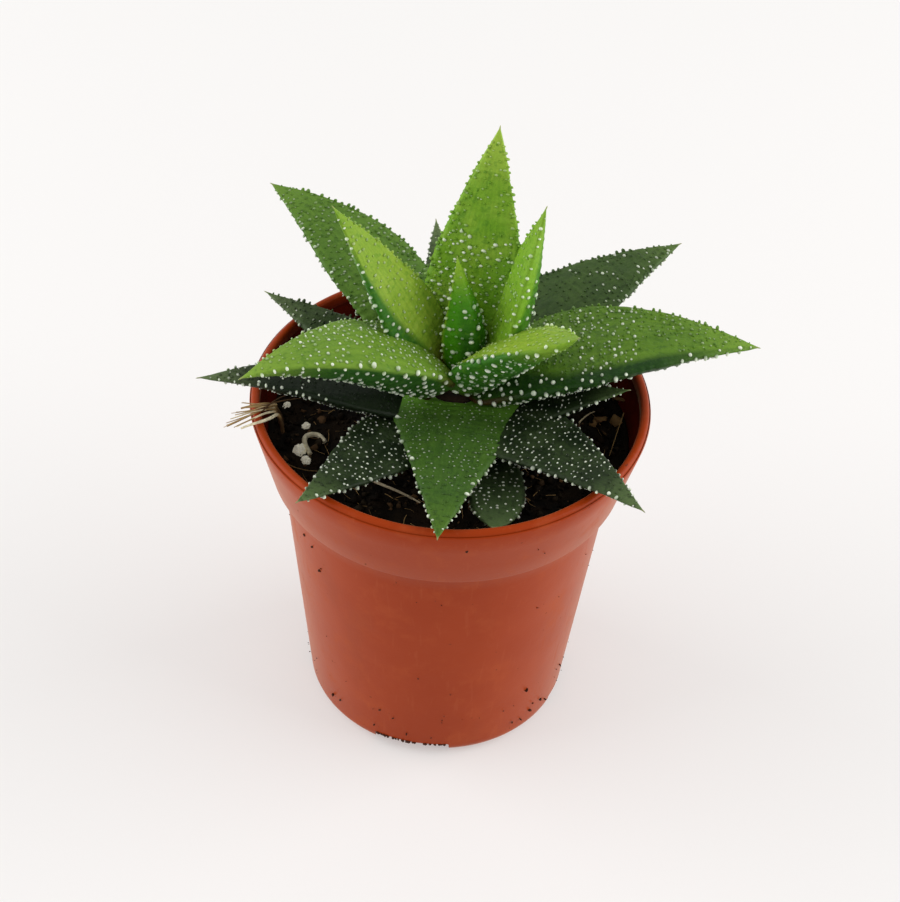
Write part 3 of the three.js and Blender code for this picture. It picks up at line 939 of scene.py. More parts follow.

# %% [markdown]
# The pearls are squat, rounded warts of hard white tissue. They stand in staggered cross
# rows on both faces and as a close row of teeth on both margins. The old outer leaves carry
# many small ones, and the young leaves fewer and larger ones. A rule spaces them, and a
# seeded draw shifts, skips and sizes each. None is set where the leaf is hidden inside its
# neighbours or the soil.

# %% Leaves: where the pearls stand
# A crop of pearls: the step between rows and within a row in millimetres, their mean radius,
# how white they are, the share that is kept, how much they gather in patches, and the
# stretch of the leaf that carries them. A whiteness under nought is a bump that is darker
# than the skin. The crop "wrap" stands only where the under side's dark colour lies over the
# upper face.
CROPS = {
    "sunny": dict(row=1.95, step=2.0, radius=0.40, white=0.88, kept=0.92, patchy=0.35,
                  reach=(0.10, 0.60)),
    "sparse": dict(row=3.0, step=3.0, radius=0.30, white=0.50, kept=0.45, patchy=0.6,
                   reach=(0.08, 0.75)),
    "patches": dict(row=1.8, step=1.9, radius=0.30, white=0.88, kept=0.95, patchy=0.8,
                    reach=(0.10, 0.76)),
    "faint": dict(row=1.25, step=1.35, radius=0.19, white=0.40, kept=0.85, patchy=0.2,
                  reach=(0.04, 0.7)),
    "rows": dict(row=2.1, step=1.8, radius=0.34, white=0.85, kept=0.9, patchy=0.3,
                 reach=(0.40, 0.60)),
    "fine": dict(row=1.45, step=1.5, radius=0.25, white=0.80, kept=0.94, patchy=0.1,
                 reach=(0.05, 0.90)),
    "outer": dict(row=1.4, step=1.45, radius=0.23, white=0.80, kept=0.92, patchy=0.1,
                  reach=(0.05, 0.78)),
    "pale": dict(row=1.9, step=2.0, radius=0.28, white=0.55, kept=0.75, patchy=0.4,
                 reach=(0.08, 0.92)),
    "far_out": dict(row=2.1, step=2.1, radius=0.32, white=0.65, kept=0.8, patchy=0.5,
                    reach=(0.55, 0.95)),
    "bold": dict(row=2.6, step=2.6, radius=0.52, white=0.92, kept=0.86, patchy=0.1,
                 reach=(0.05, 0.72)),
    "crowded": dict(row=2.1, step=2.0, radius=0.42, white=0.85, kept=0.9, patchy=0.1,
                    reach=(0.05, 0.92)),
    "wrap": dict(row=2.2, step=2.2, radius=0.44, white=0.92, kept=0.95, patchy=0,
                 reach=(0.05, 0.94)),
    "green": dict(row=1.7, step=1.7, radius=0.31, white=0.20, kept=0.85, patchy=0.2,
                  reach=(0.10, 0.95)),
    "dark": dict(row=1.6, step=1.5, radius=0.30, white=-0.40, kept=0.85, patchy=0.4,
                 reach=(0.12, 0.95)),
}
# The teeth along a margin: their step, mean radius and whiteness, and where they begin
TEETH = {
    "white": (1.9, 0.42, 0.92, 0.06), "big": (2.5, 0.50, 0.92, 0.06),
    "close": (1.55, 0.38, 0.95, 0.06), "fine": (1.5, 0.34, 0.80, 0.06),
    "green": (1.3, 0.38, 0.12, 0.06), "dark": (1.3, 0.40, 0.04, 0.06),
    "late": (1.5, 0.34, 0.80, 0.52),
}
# For a leaf: the crops on its upper face, those on its under side, and its two margins
WEAR = {
    "leaf_crown": (["green"], ["bold", "green"], "white", "white"),
    "leaf_young_left": (["wrap", "sparse", "green"], ["bold"], "white", "green"),
    "leaf_young_right": (["wrap", "sparse", "green"], ["bold"], "green", "white"),
    "leaf_young_front": (["wrap", "green"], ["bold", "green"], "white", "white"),
    "leaf_tall_back": (["sunny", "sparse", "green", "dark"], ["crowded"], "green", "green"),
    "leaf_left": (["patches", "green"], ["crowded"], "big", "fine"),
    "leaf_right": (["wrap", "rows", "sparse", "green", "dark"], ["crowded"], "green", "big"),
    "leaf_front": (["faint", "dark"], ["fine"], "close", "close"),
    "leaf_back_left": (["sparse", "green", "dark"], ["crowded"], "fine", "dark"),
    "leaf_back_right": (["far_out", "dark"], ["crowded"], "dark", "fine"),
    "leaf_outer_left": (["far_out", "dark"], ["fine"], "late", "fine"),
    "leaf_outer_back_left": (["pale", "dark"], ["fine"], "fine", "dark"),
    "leaf_outer_front_right": (["outer", "dark"], ["fine"], "close", "white"),
    "leaf_outer_right": (["outer"], ["fine"], "fine", "close"),
    "leaf_outer_front_left": (["outer", "dark"], ["fine"], "close", "close"),
    "leaf_outer_back": (["pale"], ["fine"], "fine", "fine"),
    "leaf_hidden_back": (["pale"], ["fine"], "fine", "fine"),
    "leaf_outer_front": (["fine"], ["fine"], "close", "close"),
}
# What the draw does to a pearl: how far it strays from its place in the row, and the factors
# on its radius and whiteness. Place is the share of the way across where one may stand.
PEARL = dict(stray=0.32, size=(0.65, 1.3), white=(0.5, 1.3), place=(0.05, 0.95))
# The same for a tooth, with the factors on its step, where the last one stands, its size at
# the very tip and how fast it grows from there
TOOTH = dict(
    stray=0.03, size=(0.7, 1.25), white=(0.6, 1.1), step=(0.8, 1.2), last=0.97, tip=0.35,
    growth=5,
)
# The patches that a crop gathers in: their size, contrast and strength
PATCHES = dict(size=7, contrast=1.1, strength=1.2)
ARC_STEPS = 12
NEIGHBOUR_REACH = 12
SKIN_CLEARANCE = 0.1


def arc_length(shape, along, under):
    """The way across the leaf from margin to margin, over one of its faces."""
    turns = [under + step / ARC_STEPS for step in range(ARC_STEPS + 1)]
    points = [shape.skin(along, turn)[0] for turn in turns]
    return sum((after - before).length for before, after in zip(points, points[1:]))


def is_buried(name, point):
    """True inside another leaf or under the soil."""
    if point.z < soil_height(point.x, point.y):
        return True
    for other, skin in skins.items():
        if other != name:
            near, normal, _, away = skin.find_nearest(point, NEIGHBOUR_REACH)
            if near is not None and (away < SKIN_CLEARANCE or (point - near).dot(normal) < 0):
                return True
    return False


def crop_spots(name, shape, crop, under, draw):
    """Staggered spots on one face, as (along, turn, radius, white)."""
    first, last = (share * shape.length for share in crop["reach"])
    rows = int((last - first) / crop["row"])
    for row in range(rows):
        along = (first + (row + 0.5) * crop["row"]) / shape.length
        count = round(arc_length(shape, along, under) / crop["step"])
        for column in range(count):
            shift = 0.25 + 0.5 * (row % 2) + draw.uniform(-PEARL["stray"], PEARL["stray"])
            turn = under + (column + shift) / count
            slide = draw.uniform(-PEARL["stray"], PEARL["stray"])
            slid = along + slide * crop["row"] / shape.length
            size = crop["radius"] * draw.uniform(*PEARL["size"])
            white = min(1, crop["white"] * draw.uniform(*PEARL["white"]))
            spot, _ = shape.skin(slid, turn)
            cloud = min(1, max(0, 0.5 + clouds(spot, PATCHES["size"], PATCHES["contrast"])))
            chance = crop["kept"] * (1 - crop["patchy"] * (1 - cloud * PATCHES["strength"]))
            kept = draw.random() < chance
            if not under:
                in_wrap = wrapped(name, slid, turn) > 0.5
                kept = kept and in_wrap == (crop is CROPS["wrap"])
            if kept and PEARL["place"][0] < turn - under < PEARL["place"][1]:
                yield slid, turn, size, white


def margin_spots(shape, margin, teeth, draw):
    """Teeth along one margin."""
    step, radius, white, first = TEETH[teeth]
    reached = first * shape.length
    while reached < TOOTH["last"] * shape.length:
        along = reached / shape.length
        grown = min(1, TOOTH["tip"] + TOOTH["growth"] * (1 - along))
        size = radius * draw.uniform(*TOOTH["size"]) * grown
        turn = margin + draw.uniform(-TOOTH["stray"], TOOTH["stray"])
        yield along, turn, size, white * draw.uniform(*TOOTH["white"])
        reached += step * draw.uniform(*TOOTH["step"])


# %% [markdown]
# A pearl is a small ball that is squashed onto the skin and sunk in it. Making each from
# nothing would be slow, so two templates are made, a rounder one for big pearls and a
# plainer one for small ones. They are copied as often as needed, and the points of each copy
# are then moved.

# %% Leaves: the pearls
PEARL_SUNK = 0.12
BIG_PEARL = 0.33
PEARL_SEED = 500
TOOTH_ZONE = 0.035
# The height of a pearl and of a tooth, as factors on the radius, and how far one is drawn out
PEARL_HEIGHT = (0.6, 0.95)
TOOTH_HEIGHT = (1.0, 1.5)
DRAWN_OUT = (1.0, 1.35)
# How white a pearl is at the level of the skin, and how fast that grows to its top
WHITE_AT_SKIN = 0.15
WHITENING = 1.1


def make_template(name, segments, rings):
    """A ball with a radius of 1, to be copied many times."""
    bm = bmesh.new()
    leaf_layers(bm)
    bmesh.ops.create_uvsphere(bm, u_segments=segments, v_segments=rings, radius=1)
    return make_mesh(name, bm)


def add_copies(bm, template, count):
    """Adds copies of a small mesh and gives back the points of each."""
    each = len(template.vertices)
    first = len(bm.verts)
    for _ in range(count):
        bm.from_mesh(template)
    added = list(bm.verts)[first:]
    return [added[start:start + each] for start in range(0, len(added), each)]


def set_pearl(points, layers, name, along, turn, radius, white, draw):
    """Makes one squat wart or one taller tooth of a ball, half sunk in the skin."""
    shape = shapes[name]
    bare, _ = shape.skin(along, turn)
    foot, normal = shape.skin(along, turn, relief(name, shape, along, bare))
    is_tooth = abs(turn - round(turn)) < TOOTH_ZONE
    height = radius * draw.uniform(*(TOOTH_HEIGHT if is_tooth else PEARL_HEIGHT))
    stretch = draw.uniform(*DRAWN_OUT)
    _, direction, _, _ = shape.frame(along)
    across_leaf = direction.cross(normal).normalized()
    stand = Matrix((across_leaf, normal.cross(across_leaf), normal)).transposed().to_4x4()
    size = Matrix.Diagonal((radius * stretch, radius / stretch, height, 1))
    place = Matrix.Translation(foot + normal * height * PEARL_SUNK) @ stand @ size
    for vert in points:
        rise = vert.co.z + PEARL_SUNK
        vert.co = place @ vert.co
        vert[layers["along"]] = along
        vert[layers["across"]] = math.cos(turn * math.pi)
        vert[layers["under"]] = wrapped(name, along, round(turn) if is_tooth else turn)
        vert[layers["pearl"]] = white * min(1, max(0, WHITE_AT_SKIN + WHITENING * rise))


templates = {
    True: make_template("big_pearl", segments=8, rings=5),
    False: make_template("pearl", segments=6, rings=4),
}
pearl_count = 0
for number, (name, shape) in enumerate(shapes.items()):
    draw = random.Random(PEARL_SEED + number)
    above, below, *margins = WEAR[name]
    spots = []
    for under, crops in enumerate((above, below)):
        for crop in crops:
            spots += crop_spots(name, shape, CROPS[crop], under, draw)
    for margin, teeth in enumerate(margins):
        spots += margin_spots(shape, margin, teeth, draw)
    spots = [spot for spot in spots if not is_buried(name, shape.skin(*spot[:2])[0])]
    blade, layers = blades[name]
    for is_big, template in templates.items():
        chosen = [spot for spot in spots if (spot[2] > BIG_PEARL) == is_big]
        for points, spot in zip(add_copies(blade, template, len(chosen)), chosen):
            set_pearl(points, layers, name, *spot, draw)
    pearl_count += len(spots)
print("pearls:", pearl_count)

# %% [markdown]
# Leaf tissue is waxy and slightly see-through. The young leaves are a light yellow-green on
# their inner face, the middle ones a fresh green, and the old outer ones nearly black-green.
# Colour runs from a brownish foot to a clean tip, darker cross streaks break it up, and the
# under side is darker than the upper, with a deep green keel on the younger leaves. On the
# front leaf the foot is instead a painted light green, which brightens it in the left leaf's
# shade. The pearls fade from the leaf's own colour at their foot to white on top.

# %% Leaves: finish
PEARL_WHITE = (0.74, 0.80, 0.66)
DRY_TIP = (0.33, 0.30, 0.16)
RUST = (0.038, 0.009, 0.003)
KEEL = (0.008, 0.060, 0.003)
# For a leaf: the colours of its upper face, tip, under side, streaks and foot
TONES = {
    "ash": dict(
        face=(0.007, 0.014, 0.005), tip=(0.115, 0.165, 0.064), below=(0.008, 0.016, 0.005),
        streak=(0.004, 0.010, 0.003), foot=(0.005, 0.009, 0.003), mottle=0.05),
    "heart": dict(
        face=(0.235, 0.430, 0.020), tip=(0.30, 0.46, 0.030), below=(0.055, 0.245, 0.004),
        streak=(0.090, 0.225, 0.008), foot=(0.24, 0.25, 0.015), keel=0.85),
    "pale": dict(
        face=(0.205, 0.400, 0.024), tip=(0.19, 0.34, 0.022), below=(0.055, 0.190, 0.009),
        streak=(0.090, 0.235, 0.010), foot=(0.20, 0.13, 0.012), keel=0.5),
    "lime": dict(
        face=(0.300, 0.440, 0.042), tip=(0.19, 0.33, 0.018), below=(0.030, 0.140, 0.009),
        streak=(0.090, 0.225, 0.010), foot=(0.20, 0.11, 0.012), keel=0.5),
    "bright": dict(
        face=(0.145, 0.315, 0.011), tip=(0.31, 0.46, 0.048), below=(0.040, 0.160, 0.007),
        streak=(0.052, 0.170, 0.006), foot=(0.17, 0.12, 0.010), keel=0.4),
    "fresh": dict(
        face=(0.152, 0.275, 0.026), tip=(0.19, 0.32, 0.032), below=(0.020, 0.085, 0.010),
        streak=(0.052, 0.145, 0.012), foot=(0.12, 0.19, 0.014), keel=0.4),
    "green": dict(
        face=(0.096, 0.198, 0.013), tip=(0.155, 0.285, 0.024), below=(0.010, 0.044, 0.004),
        streak=(0.034, 0.100, 0.008), foot=(0.08, 0.15, 0.010)),
    "moss": dict(
        face=(0.088, 0.183, 0.020), tip=(0.118, 0.226, 0.025), below=(0.022, 0.060, 0.010),
        streak=(0.027, 0.078, 0.008), foot=(0.05, 0.11, 0.012)),
    # Its foot is a painted light green, which brightens the front leaf's foot in the left leaf's
    # shade
    "deep": dict(
        face=(0.049, 0.116, 0.016), tip=(0.070, 0.148, 0.014), below=(0.018, 0.048, 0.009),
        streak=(0.018, 0.052, 0.008), foot=(0.160, 0.390, 0.036)),
    "dusk": dict(
        face=(0.041, 0.078, 0.019), tip=(0.080, 0.138, 0.030), below=(0.017, 0.038, 0.010),
        streak=(0.015, 0.036, 0.008), foot=(0.022, 0.040, 0.010)),
    "night": dict(
        face=(0.008, 0.017, 0.005), tip=(0.092, 0.144, 0.048), below=(0.008, 0.016, 0.005),
        streak=(0.004, 0.010, 0.003), foot=(0.008, 0.014, 0.004), mottle=0.28),
    "shade": dict(
        face=(0.022, 0.040, 0.013), tip=(0.078, 0.126, 0.042), below=(0.014, 0.026, 0.009),
        streak=(0.009, 0.018, 0.006), foot=(0.014, 0.024, 0.008)),
    "grey": dict(
        face=(0.050, 0.082, 0.028), tip=(0.115, 0.165, 0.064), below=(0.018, 0.032, 0.010),
        streak=(0.010, 0.020, 0.007), foot=(0.008, 0.014, 0.004)),
}
TONE_OF = {
    "leaf_crown": "heart", "leaf_young_left": "lime", "leaf_young_right": "pale",
    "leaf_young_front": "lime", "leaf_tall_back": "bright", "leaf_left": "fresh",
    "leaf_right": "green", "leaf_front": "deep", "leaf_back_left": "moss",
    "leaf_back_right": "dusk", "leaf_outer_left": "ash", "leaf_outer_back_left": "grey",
    "leaf_outer_back": "grey", "leaf_outer_front_left": "night", "leaf_outer_front": "shade",
}
USUAL_TONE = "night"
SLOT_OF_TONE = {
    **dict.fromkeys(TONES, "leaf_old"),
    **dict.fromkeys(("heart", "pale", "lime", "bright"), "leaf_young"),
    **dict.fromkeys(("fresh", "green", "deep"), "leaf_middle"),
}


def leaf_finish(name, face, tip, below, streak, foot, mottle=0.45, keel=0):
    """Waxy leaf skin with pearls. Mottle and keel are the shares of blotches and keel."""
    skin = Finish(
        name, IOR=1.27, Subsurface_Weight=0.10, Subsurface_Scale=0.0015,
        Subsurface_Radius=(0.5, 1.0, 0.25),
    )
    along = skin.attribute("along")
    across = skin.attribute("across")
    under = skin.attribute("under")
    pearl = skin.attribute("pearl")
    blotch = skin.grain(6, detail=3).between(0.3, 0.7)
    fine = skin.grain(0.8, detail=3).between(0.35, 0.75)
    dash = skin.grain(1.3, detail=2).between(0.56, 0.66)
    stripes = skin.node("ShaderNodeCombineXYZ", None, {0: across * 4, 1: along * 2})
    vein = skin.grain(0.5, detail=3, where=stripes).between(0.35, 0.65)
    colour = skin.mix(blotch * mottle, face, tip)
    colour = skin.mix(vein * 0.30, colour, streak)
    colour = skin.mix(along.between(0.70, 1.0), colour, tip)
    # The under side's dark colour; over the right leaf's upper face it is partly painted shade
    colour = skin.mix(under * (1 - along.between(0.62, 0.92) * 0.7), colour, below)
    on_keel = under * (1 - across * across).between(0.25, 0.85)
    colour = skin.mix(on_keel * (1 - along.between(0.30, 0.85)) * keel, colour, KEEL)
    colour = skin.mix(dash * 0.40, colour, streak)
    colour = skin.mix(fine * 0.16, colour, streak)
    # The foot's colour; on the front leaf it is a painted light green
    open_foot = (1 - along.between(0.02, 0.22)) * (1 - under * 0.85)
    colour = skin.mix(open_foot, colour, foot)
    rust_foot = 1 - along.between(0.01, 0.05)
    rust_edge = (across * across).between(0.95, 0.998) * (1 - along.between(0.08, 0.24))
    colour = skin.mix(rust_edge * 0.8, colour, RUST)
    colour = skin.mix(rust_foot, colour, RUST)
    colour = skin.mix(along.between(0.975, 1.0) * 0.6, colour, DRY_TIP)
    colour = skin.mix(pearl * -1, colour, streak)
    colour = skin.mix(pearl, colour, PEARL_WHITE)
    rough = 0.46 + blotch * 0.10 - pearl * 0.06
    relief = skin.bump(skin.grain(0.35, detail=2), 0.03)
    relief = skin.bump(skin.grain(1.0, detail=3), 0.22, under=relief)
    return skin.wear(Base_Color=colour, Roughness=rough, Normal=relief)


leaf_materials = {tone: leaf_finish(f"leaf_{tone}", **TONES[tone]) for tone in TONES}
for name, (blade, _) in blades.items():
    tone = TONE_OF.get(name, USUAL_TONE)
    finish_piece(
        blade, f"{name}_pearled", leaf_materials[tone], SLOT_OF_TONE[tone],
        replaces=[name], turn_out=False,
    )
most = max(made_triangles[f"{name}_pearled"] for name in blades)
print("most triangles in a leaf:", most)

# %% [markdown]
# ## The stem
#
# Only slivers of the short stem show between the leaf bases. The packed solid stays as it
# is and gets a dry, reddish-brown bark.

# %% Stem: finish
bark = Finish("stem_bark", Specular_IOR_Level=0.3)
ring = bark.grain(2.2, detail=4, stretch=(0.4, 0.4, 2.5)).between(0.35, 0.65)
bark_tone = bark.mix(ring, (0.006, 0.005, 0.002), (0.022, 0.010, 0.004))
bark_relief = bark.bump(ring, 0.15)
bark.wear(Base_Color=bark_tone, Roughness=0.75 + ring * 0.15, Normal=bark_relief)
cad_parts["stem"].data.materials.clear()
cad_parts["stem"].data.materials.append(bark.material)
print("stem points kept:", len(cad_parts["stem"].data.vertices))

# %% [markdown]
# ## Perlite and crumbs
#
# Perlite is popped volcanic glass: light, white, knobbly grains. Each starts as an
# icosphere whose points move in and out with noise. Its faces are nearly of one size, so
# the knobs come out even all round, which the poles of a plain ball would spoil.

# %% Perlite grains
# A grain: its radius and its place
GRAINS = {
    "perlite_1": (1.4, -31.3, -8.6), "perlite_2": (1, -29.8, -11.4),
    "perlite_3": (0.9, -30.6, -0.6), "perlite_4": (0.8, -35.3, 5.6),
}
GRAIN_SUNK = 0.35
GRAIN_FORM = (1, 0.92, 0.88)
# Each lump reads the noise at a place of its own, which follows from its seed
SEED_STEPS = (3.7, 1.3, 0)
NOISE_REACH = 50

# The grains glow a little with a cream light of their own: painted light that brightens them
glowing_perlite = Finish(
    "perlite", Specular_IOR_Level=0.35, Emission_Color=(1.0, 0.93, 0.70, 1.0),
    Emission_Strength=0.12,
)
pores = glowing_perlite.grain(0.35, detail=3).between(0.4, 0.62)
chalk = glowing_perlite.mix(pores, (0.88, 0.84, 0.68), (0.98, 0.97, 0.88))
dust = glowing_perlite.grain(1.4, detail=3).between(0.55, 0.7)
chalk = glowing_perlite.mix(dust * 0.15, chalk, (0.30, 0.22, 0.13))
glowing_perlite.wear(Base_Color=chalk, Roughness=0.9 - pores * 0.1, Normal=glowing_perlite.bump(pores, 0.1))


def tumbled(draw, most=2 * math.pi):
    """A turn about a drawn axis by a drawn angle."""
    angle = draw.uniform(0, most)
    return Matrix.Rotation(angle, 4, Vector([draw.uniform(-1, 1) for _ in range(3)]))


def knobbly(bm, centre, radii, rough, size, seed, subdivisions=1):
    """A closed lump at a place, its points moved in and out by noise."""
    spin = tumbled(random.Random(seed))
    made = bmesh.ops.create_icosphere(bm, subdivisions=subdivisions, radius=1)
    start = Vector([seed * step % NOISE_REACH for step in SEED_STEPS])
    for vert in made["verts"]:
        vert.co *= 1 + clouds(vert.co, size, rough, start)
    place = Matrix.Translation(centre) @ spin @ Matrix.Diagonal((*radii, 1))
    bmesh.ops.transform(bm, matrix=place, verts=made["verts"])
    return made["verts"]


for number, (name, (radius, x, y)) in enumerate(GRAINS.items()):
    bm = bmesh.new()
    level = soil_level(math.hypot(x, y))
    centre = Vector((x, y, level + radius * (1 - 2 * GRAIN_SUNK)))
    radii = [radius * share for share in GRAIN_FORM]
    knobbly(bm, centre, radii, rough=0.42, size=0.42, seed=60 + number, subdivisions=4)
    finish_piece(bm, f"{name}_popped", glowing_perlite.material, "perlite", replaces=[name])
print("perlite grains:", len(GRAINS))

# %% [markdown]
# Potting peat is never smooth: crumbs of all sizes lie on it, most of them fine and a few
# as coarse as 2 mm, with chips of bark between them. They are coarse icospheres from eight
# moulds, each copied 300 times, turned, squashed and given a shade of its own. That keeps
# thousands of them quick to make and light to draw.

# %% Peat crumbs
# The crumbs: how many, from how many moulds, their least and greatest size, how rare big
# ones are, how far they are squashed, the share of the bed that they leave free in the
# middle, how high they stand, their lightest shade, how far the rest darken, and how far
# they are turned
CRUMBS = dict(
    count=2400, moulds=8, least=0.22, greatest=1.25, rarity=4.2, form=(0.55, 1.1),
    middle=0.03, stand=0.25, lightest=0.97, darkening=1.3, turn=6.28,
)


def toned_bmesh():
    """An empty bmesh whose points carry a number for their shade, and that number."""
    bm = bmesh.new()
    return bm, bm.verts.layers.float.new("tone")


def make_crumb(number):
    """A knobbly lump about 2 across, to be copied many times."""
    bm, _ = toned_bmesh()
    knobbly(bm, Vector(), (1, 1, 1), rough=0.9, size=0.8, seed=900 + number)
    return make_mesh("crumb", bm)


draw = random.Random(21)
bm, tone = toned_bmesh()
for number in range(CRUMBS["moulds"]):
    mould = make_crumb(number)
    for crumb in add_copies(bm, mould, CRUMBS["count"] // CRUMBS["moulds"]):
        size = min(CRUMBS["greatest"], CRUMBS["least"] + draw.expovariate(CRUMBS["rarity"]))
        radius = (soil_rim - size) * math.sqrt(draw.uniform(CRUMBS["middle"], 1))
        spot = polar(radius, draw.uniform(0, 360), 0)
        spot.z = soil_height(spot.x, spot.y) + CRUMBS["stand"] * size
        turn = tumbled(draw, CRUMBS["turn"])
        radii = [size * draw.uniform(*CRUMBS["form"]) for _ in range(3)]
        place = Matrix.Translation(spot) @ turn @ Matrix.Diagonal((*radii, 1))
        shade = CRUMBS["lightest"] * draw.random() ** CRUMBS["darkening"]
        for vert in crumb:
            vert.co = place @ vert.co
            vert[tone] = shade
finish_piece(
    bm, "peat_crumbs", peat_finish("peat_crumb", toned=True), "soil_mix", turn_out=False,
)
print("crumb triangles:", made_triangles["peat_crumbs"])

# %% [markdown]
# ## Litter
#
# What else lies on the plant shows that it is real: dry roots and straws on the peat, a
# frayed tuft that hangs over the rim at the left, flakes of bark, and specks of dirt on the
# outside of the pot. A straw is a curve with a round bevel that tapers, which is turned
# into a mesh before it is placed. Each strand's points are chosen from the photograph, and
# each one's height follows from what it lies on.

# %% Litter: strands
STRAW_REST = 0.35
STRAND_STEPS = 5
STRAND_ORDER = 4


def strand_mesh(points, radius, taper):
    """A closed tapered tube along a smooth line through points in millimetres."""
    curve = bpy.data.curves.new("strand", "CURVE")
    curve.dimensions = "3D"
    curve.bevel_depth = radius
    curve.bevel_resolution = 1
    curve.use_fill_caps = True
    curve.resolution_u = STRAND_STEPS
    spline = curve.splines.new("NURBS")
    spline.points.add(len(points) - 1)
    spline.order_u = STRAND_ORDER
    spline.use_endpoint_u = True
    for number, (point, knot) in enumerate(zip(points, spline.points)):
        knot.co = (*point, 1)
        knot.radius = 1 + (taper - 1) * number / (len(points) - 1)
    holder = make_object("strand", curve)
    mesh = bpy.data.meshes.new_from_object(holder)
    bpy.data.objects.remove(holder)
    return mesh


def add_strand(bm, tone, points, radius, taper, shade):
    """Adds one strand with its shade to a bmesh."""
    start = len(bm.verts)
    bm.from_mesh(strand_mesh(points, radius, taper))
    for vert in list(bm.verts)[start:]:
        vert[tone] = shade


def on_peat(x, y, lift=0.0):
    """A spot on the peat, or over it."""
    return Vector((x, y, soil_height(x, y) + STRAW_REST + lift))


def straw_finish(name):
    """Dry root or straw, from brown at a tone of 0 to bleached at a tone of 1."""
    straw = Finish(name, Specular_IOR_Level=0.25)
    tone = straw.attribute("tone")
    fibre = straw.grain(0.5, detail=3, stretch=(0.5, 0.5, 1)).between(0.3, 0.7)
    shade = straw.mix(tone.between(0.0, 0.6), (0.060, 0.024, 0.008), (0.46, 0.29, 0.11))
    shade = straw.mix(tone.between(0.6, 1.0), shade, (0.90, 0.82, 0.58))
    shade = straw.mix(fibre * 0.35, shade, (0.075, 0.042, 0.020))
    return straw.wear(Base_Color=shade, Roughness=0.75 + fibre * 0.15)


# A strand on the peat: its points as (x, y, lift), its radius, its taper and its shade
STRANDS = [
    ([(-26.3, -5.6, 0.4), (-27.0, -4.2, 0.6), (-28.6, -3.8, 0.7), (-30.3, -4.6, 0.6),
      (-30.7, -6.4, 0.4), (-30.0, -8.0, 0.4), (-29.0, -9.6, 0.3)], 0.62, 0.9, 1.0),
    ([(-18.0, -15.2, 0.6), (-16.4, -16.4, 0.7), (-12.5, -18.8, 1.0), (-8.5, -20.8, 0.9),
      (-5.1, -22.7, 0.2)], 0.46, 0.45, 0.84),
    ([(-17.4, -16.4, 0.5), (-18.3, -15.4, 0.8), (-18.4, -14.2, 0.5)], 0.72, 0.7, 0.92),
    ([(37.4, 5.4, 3.4), (36.0, 0.6, 2.0), (34.4, -5.4, 0.4)], 0.13, 0.6, 0.62),
    ([(28.0, 5.4, 0.3), (29.4, 7.4, 0.9), (31.4, 9.5, 0.4)], 0.22, 0.6, 0.80),
    ([(-34.8, -12.4, 0.1), (-31.0, -14.8, 0.3), (-27.0, -14.6, 0.1)], 0.16, 0.5, 0.30),
    ([(12.0, -27.6, 0.1), (17.5, -29.4, 0.4), (22.8, -27.8, 0.1)], 0.16, 0.5, 0.30),
    ([(-22.4, -27.4, 0.1), (-17.8, -29.4, 0.3), (-14.0, -28.8, 0.1)], 0.14, 0.5, 0.28),
]
# Thin rootlets of the peat, scattered by a seeded draw: their count and points, the share of
# the bed that they leave free in the middle, how far from its edge they start and stay, their
# length, lift, turns in radians, radius, taper and shade
ROOTLETS = dict(
    count=130, points=4, middle=0.1, start=4, edge=0.5, length=(1.5, 4.5), lift=(-0.3, 0.35),
    turn=0.7, radius=(0.05, 0.11), taper=0.5, shade=(0.1, 0.6),
)

bm, tone = toned_bmesh()
for points, radius, taper, shade in STRANDS:
    add_strand(bm, tone, [on_peat(*point) for point in points], radius, taper, shade)
draw = random.Random(88)
for _ in range(ROOTLETS["count"]):
    radius = (soil_rim - ROOTLETS["start"]) * math.sqrt(draw.uniform(ROOTLETS["middle"], 1))
    spot = polar(radius, draw.uniform(0, 360), 0)
    bearing = draw.uniform(0, 2 * math.pi)
    step = draw.uniform(*ROOTLETS["length"]) / (ROOTLETS["points"] - 1)
    points = []
    for _ in range(ROOTLETS["points"]):
        points.append(on_peat(spot.x, spot.y, draw.uniform(*ROOTLETS["lift"])))
        bearing += draw.uniform(-ROOTLETS["turn"], ROOTLETS["turn"])
        spot = spot + Vector((step * math.cos(bearing), step * math.sin(bearing), 0))
        spot *= min(1, (soil_rim - ROOTLETS["edge"]) / spot.length)
    radius = draw.uniform(*ROOTLETS["radius"])
    add_strand(bm, tone, points, radius, ROOTLETS["taper"], draw.uniform(*ROOTLETS["shade"]))
straw = straw_finish("dry_straw")
finish_piece(bm, "peat_strands", straw, "stem_bark", turn_out=False)
print("strand triangles:", made_triangles["peat_strands"])
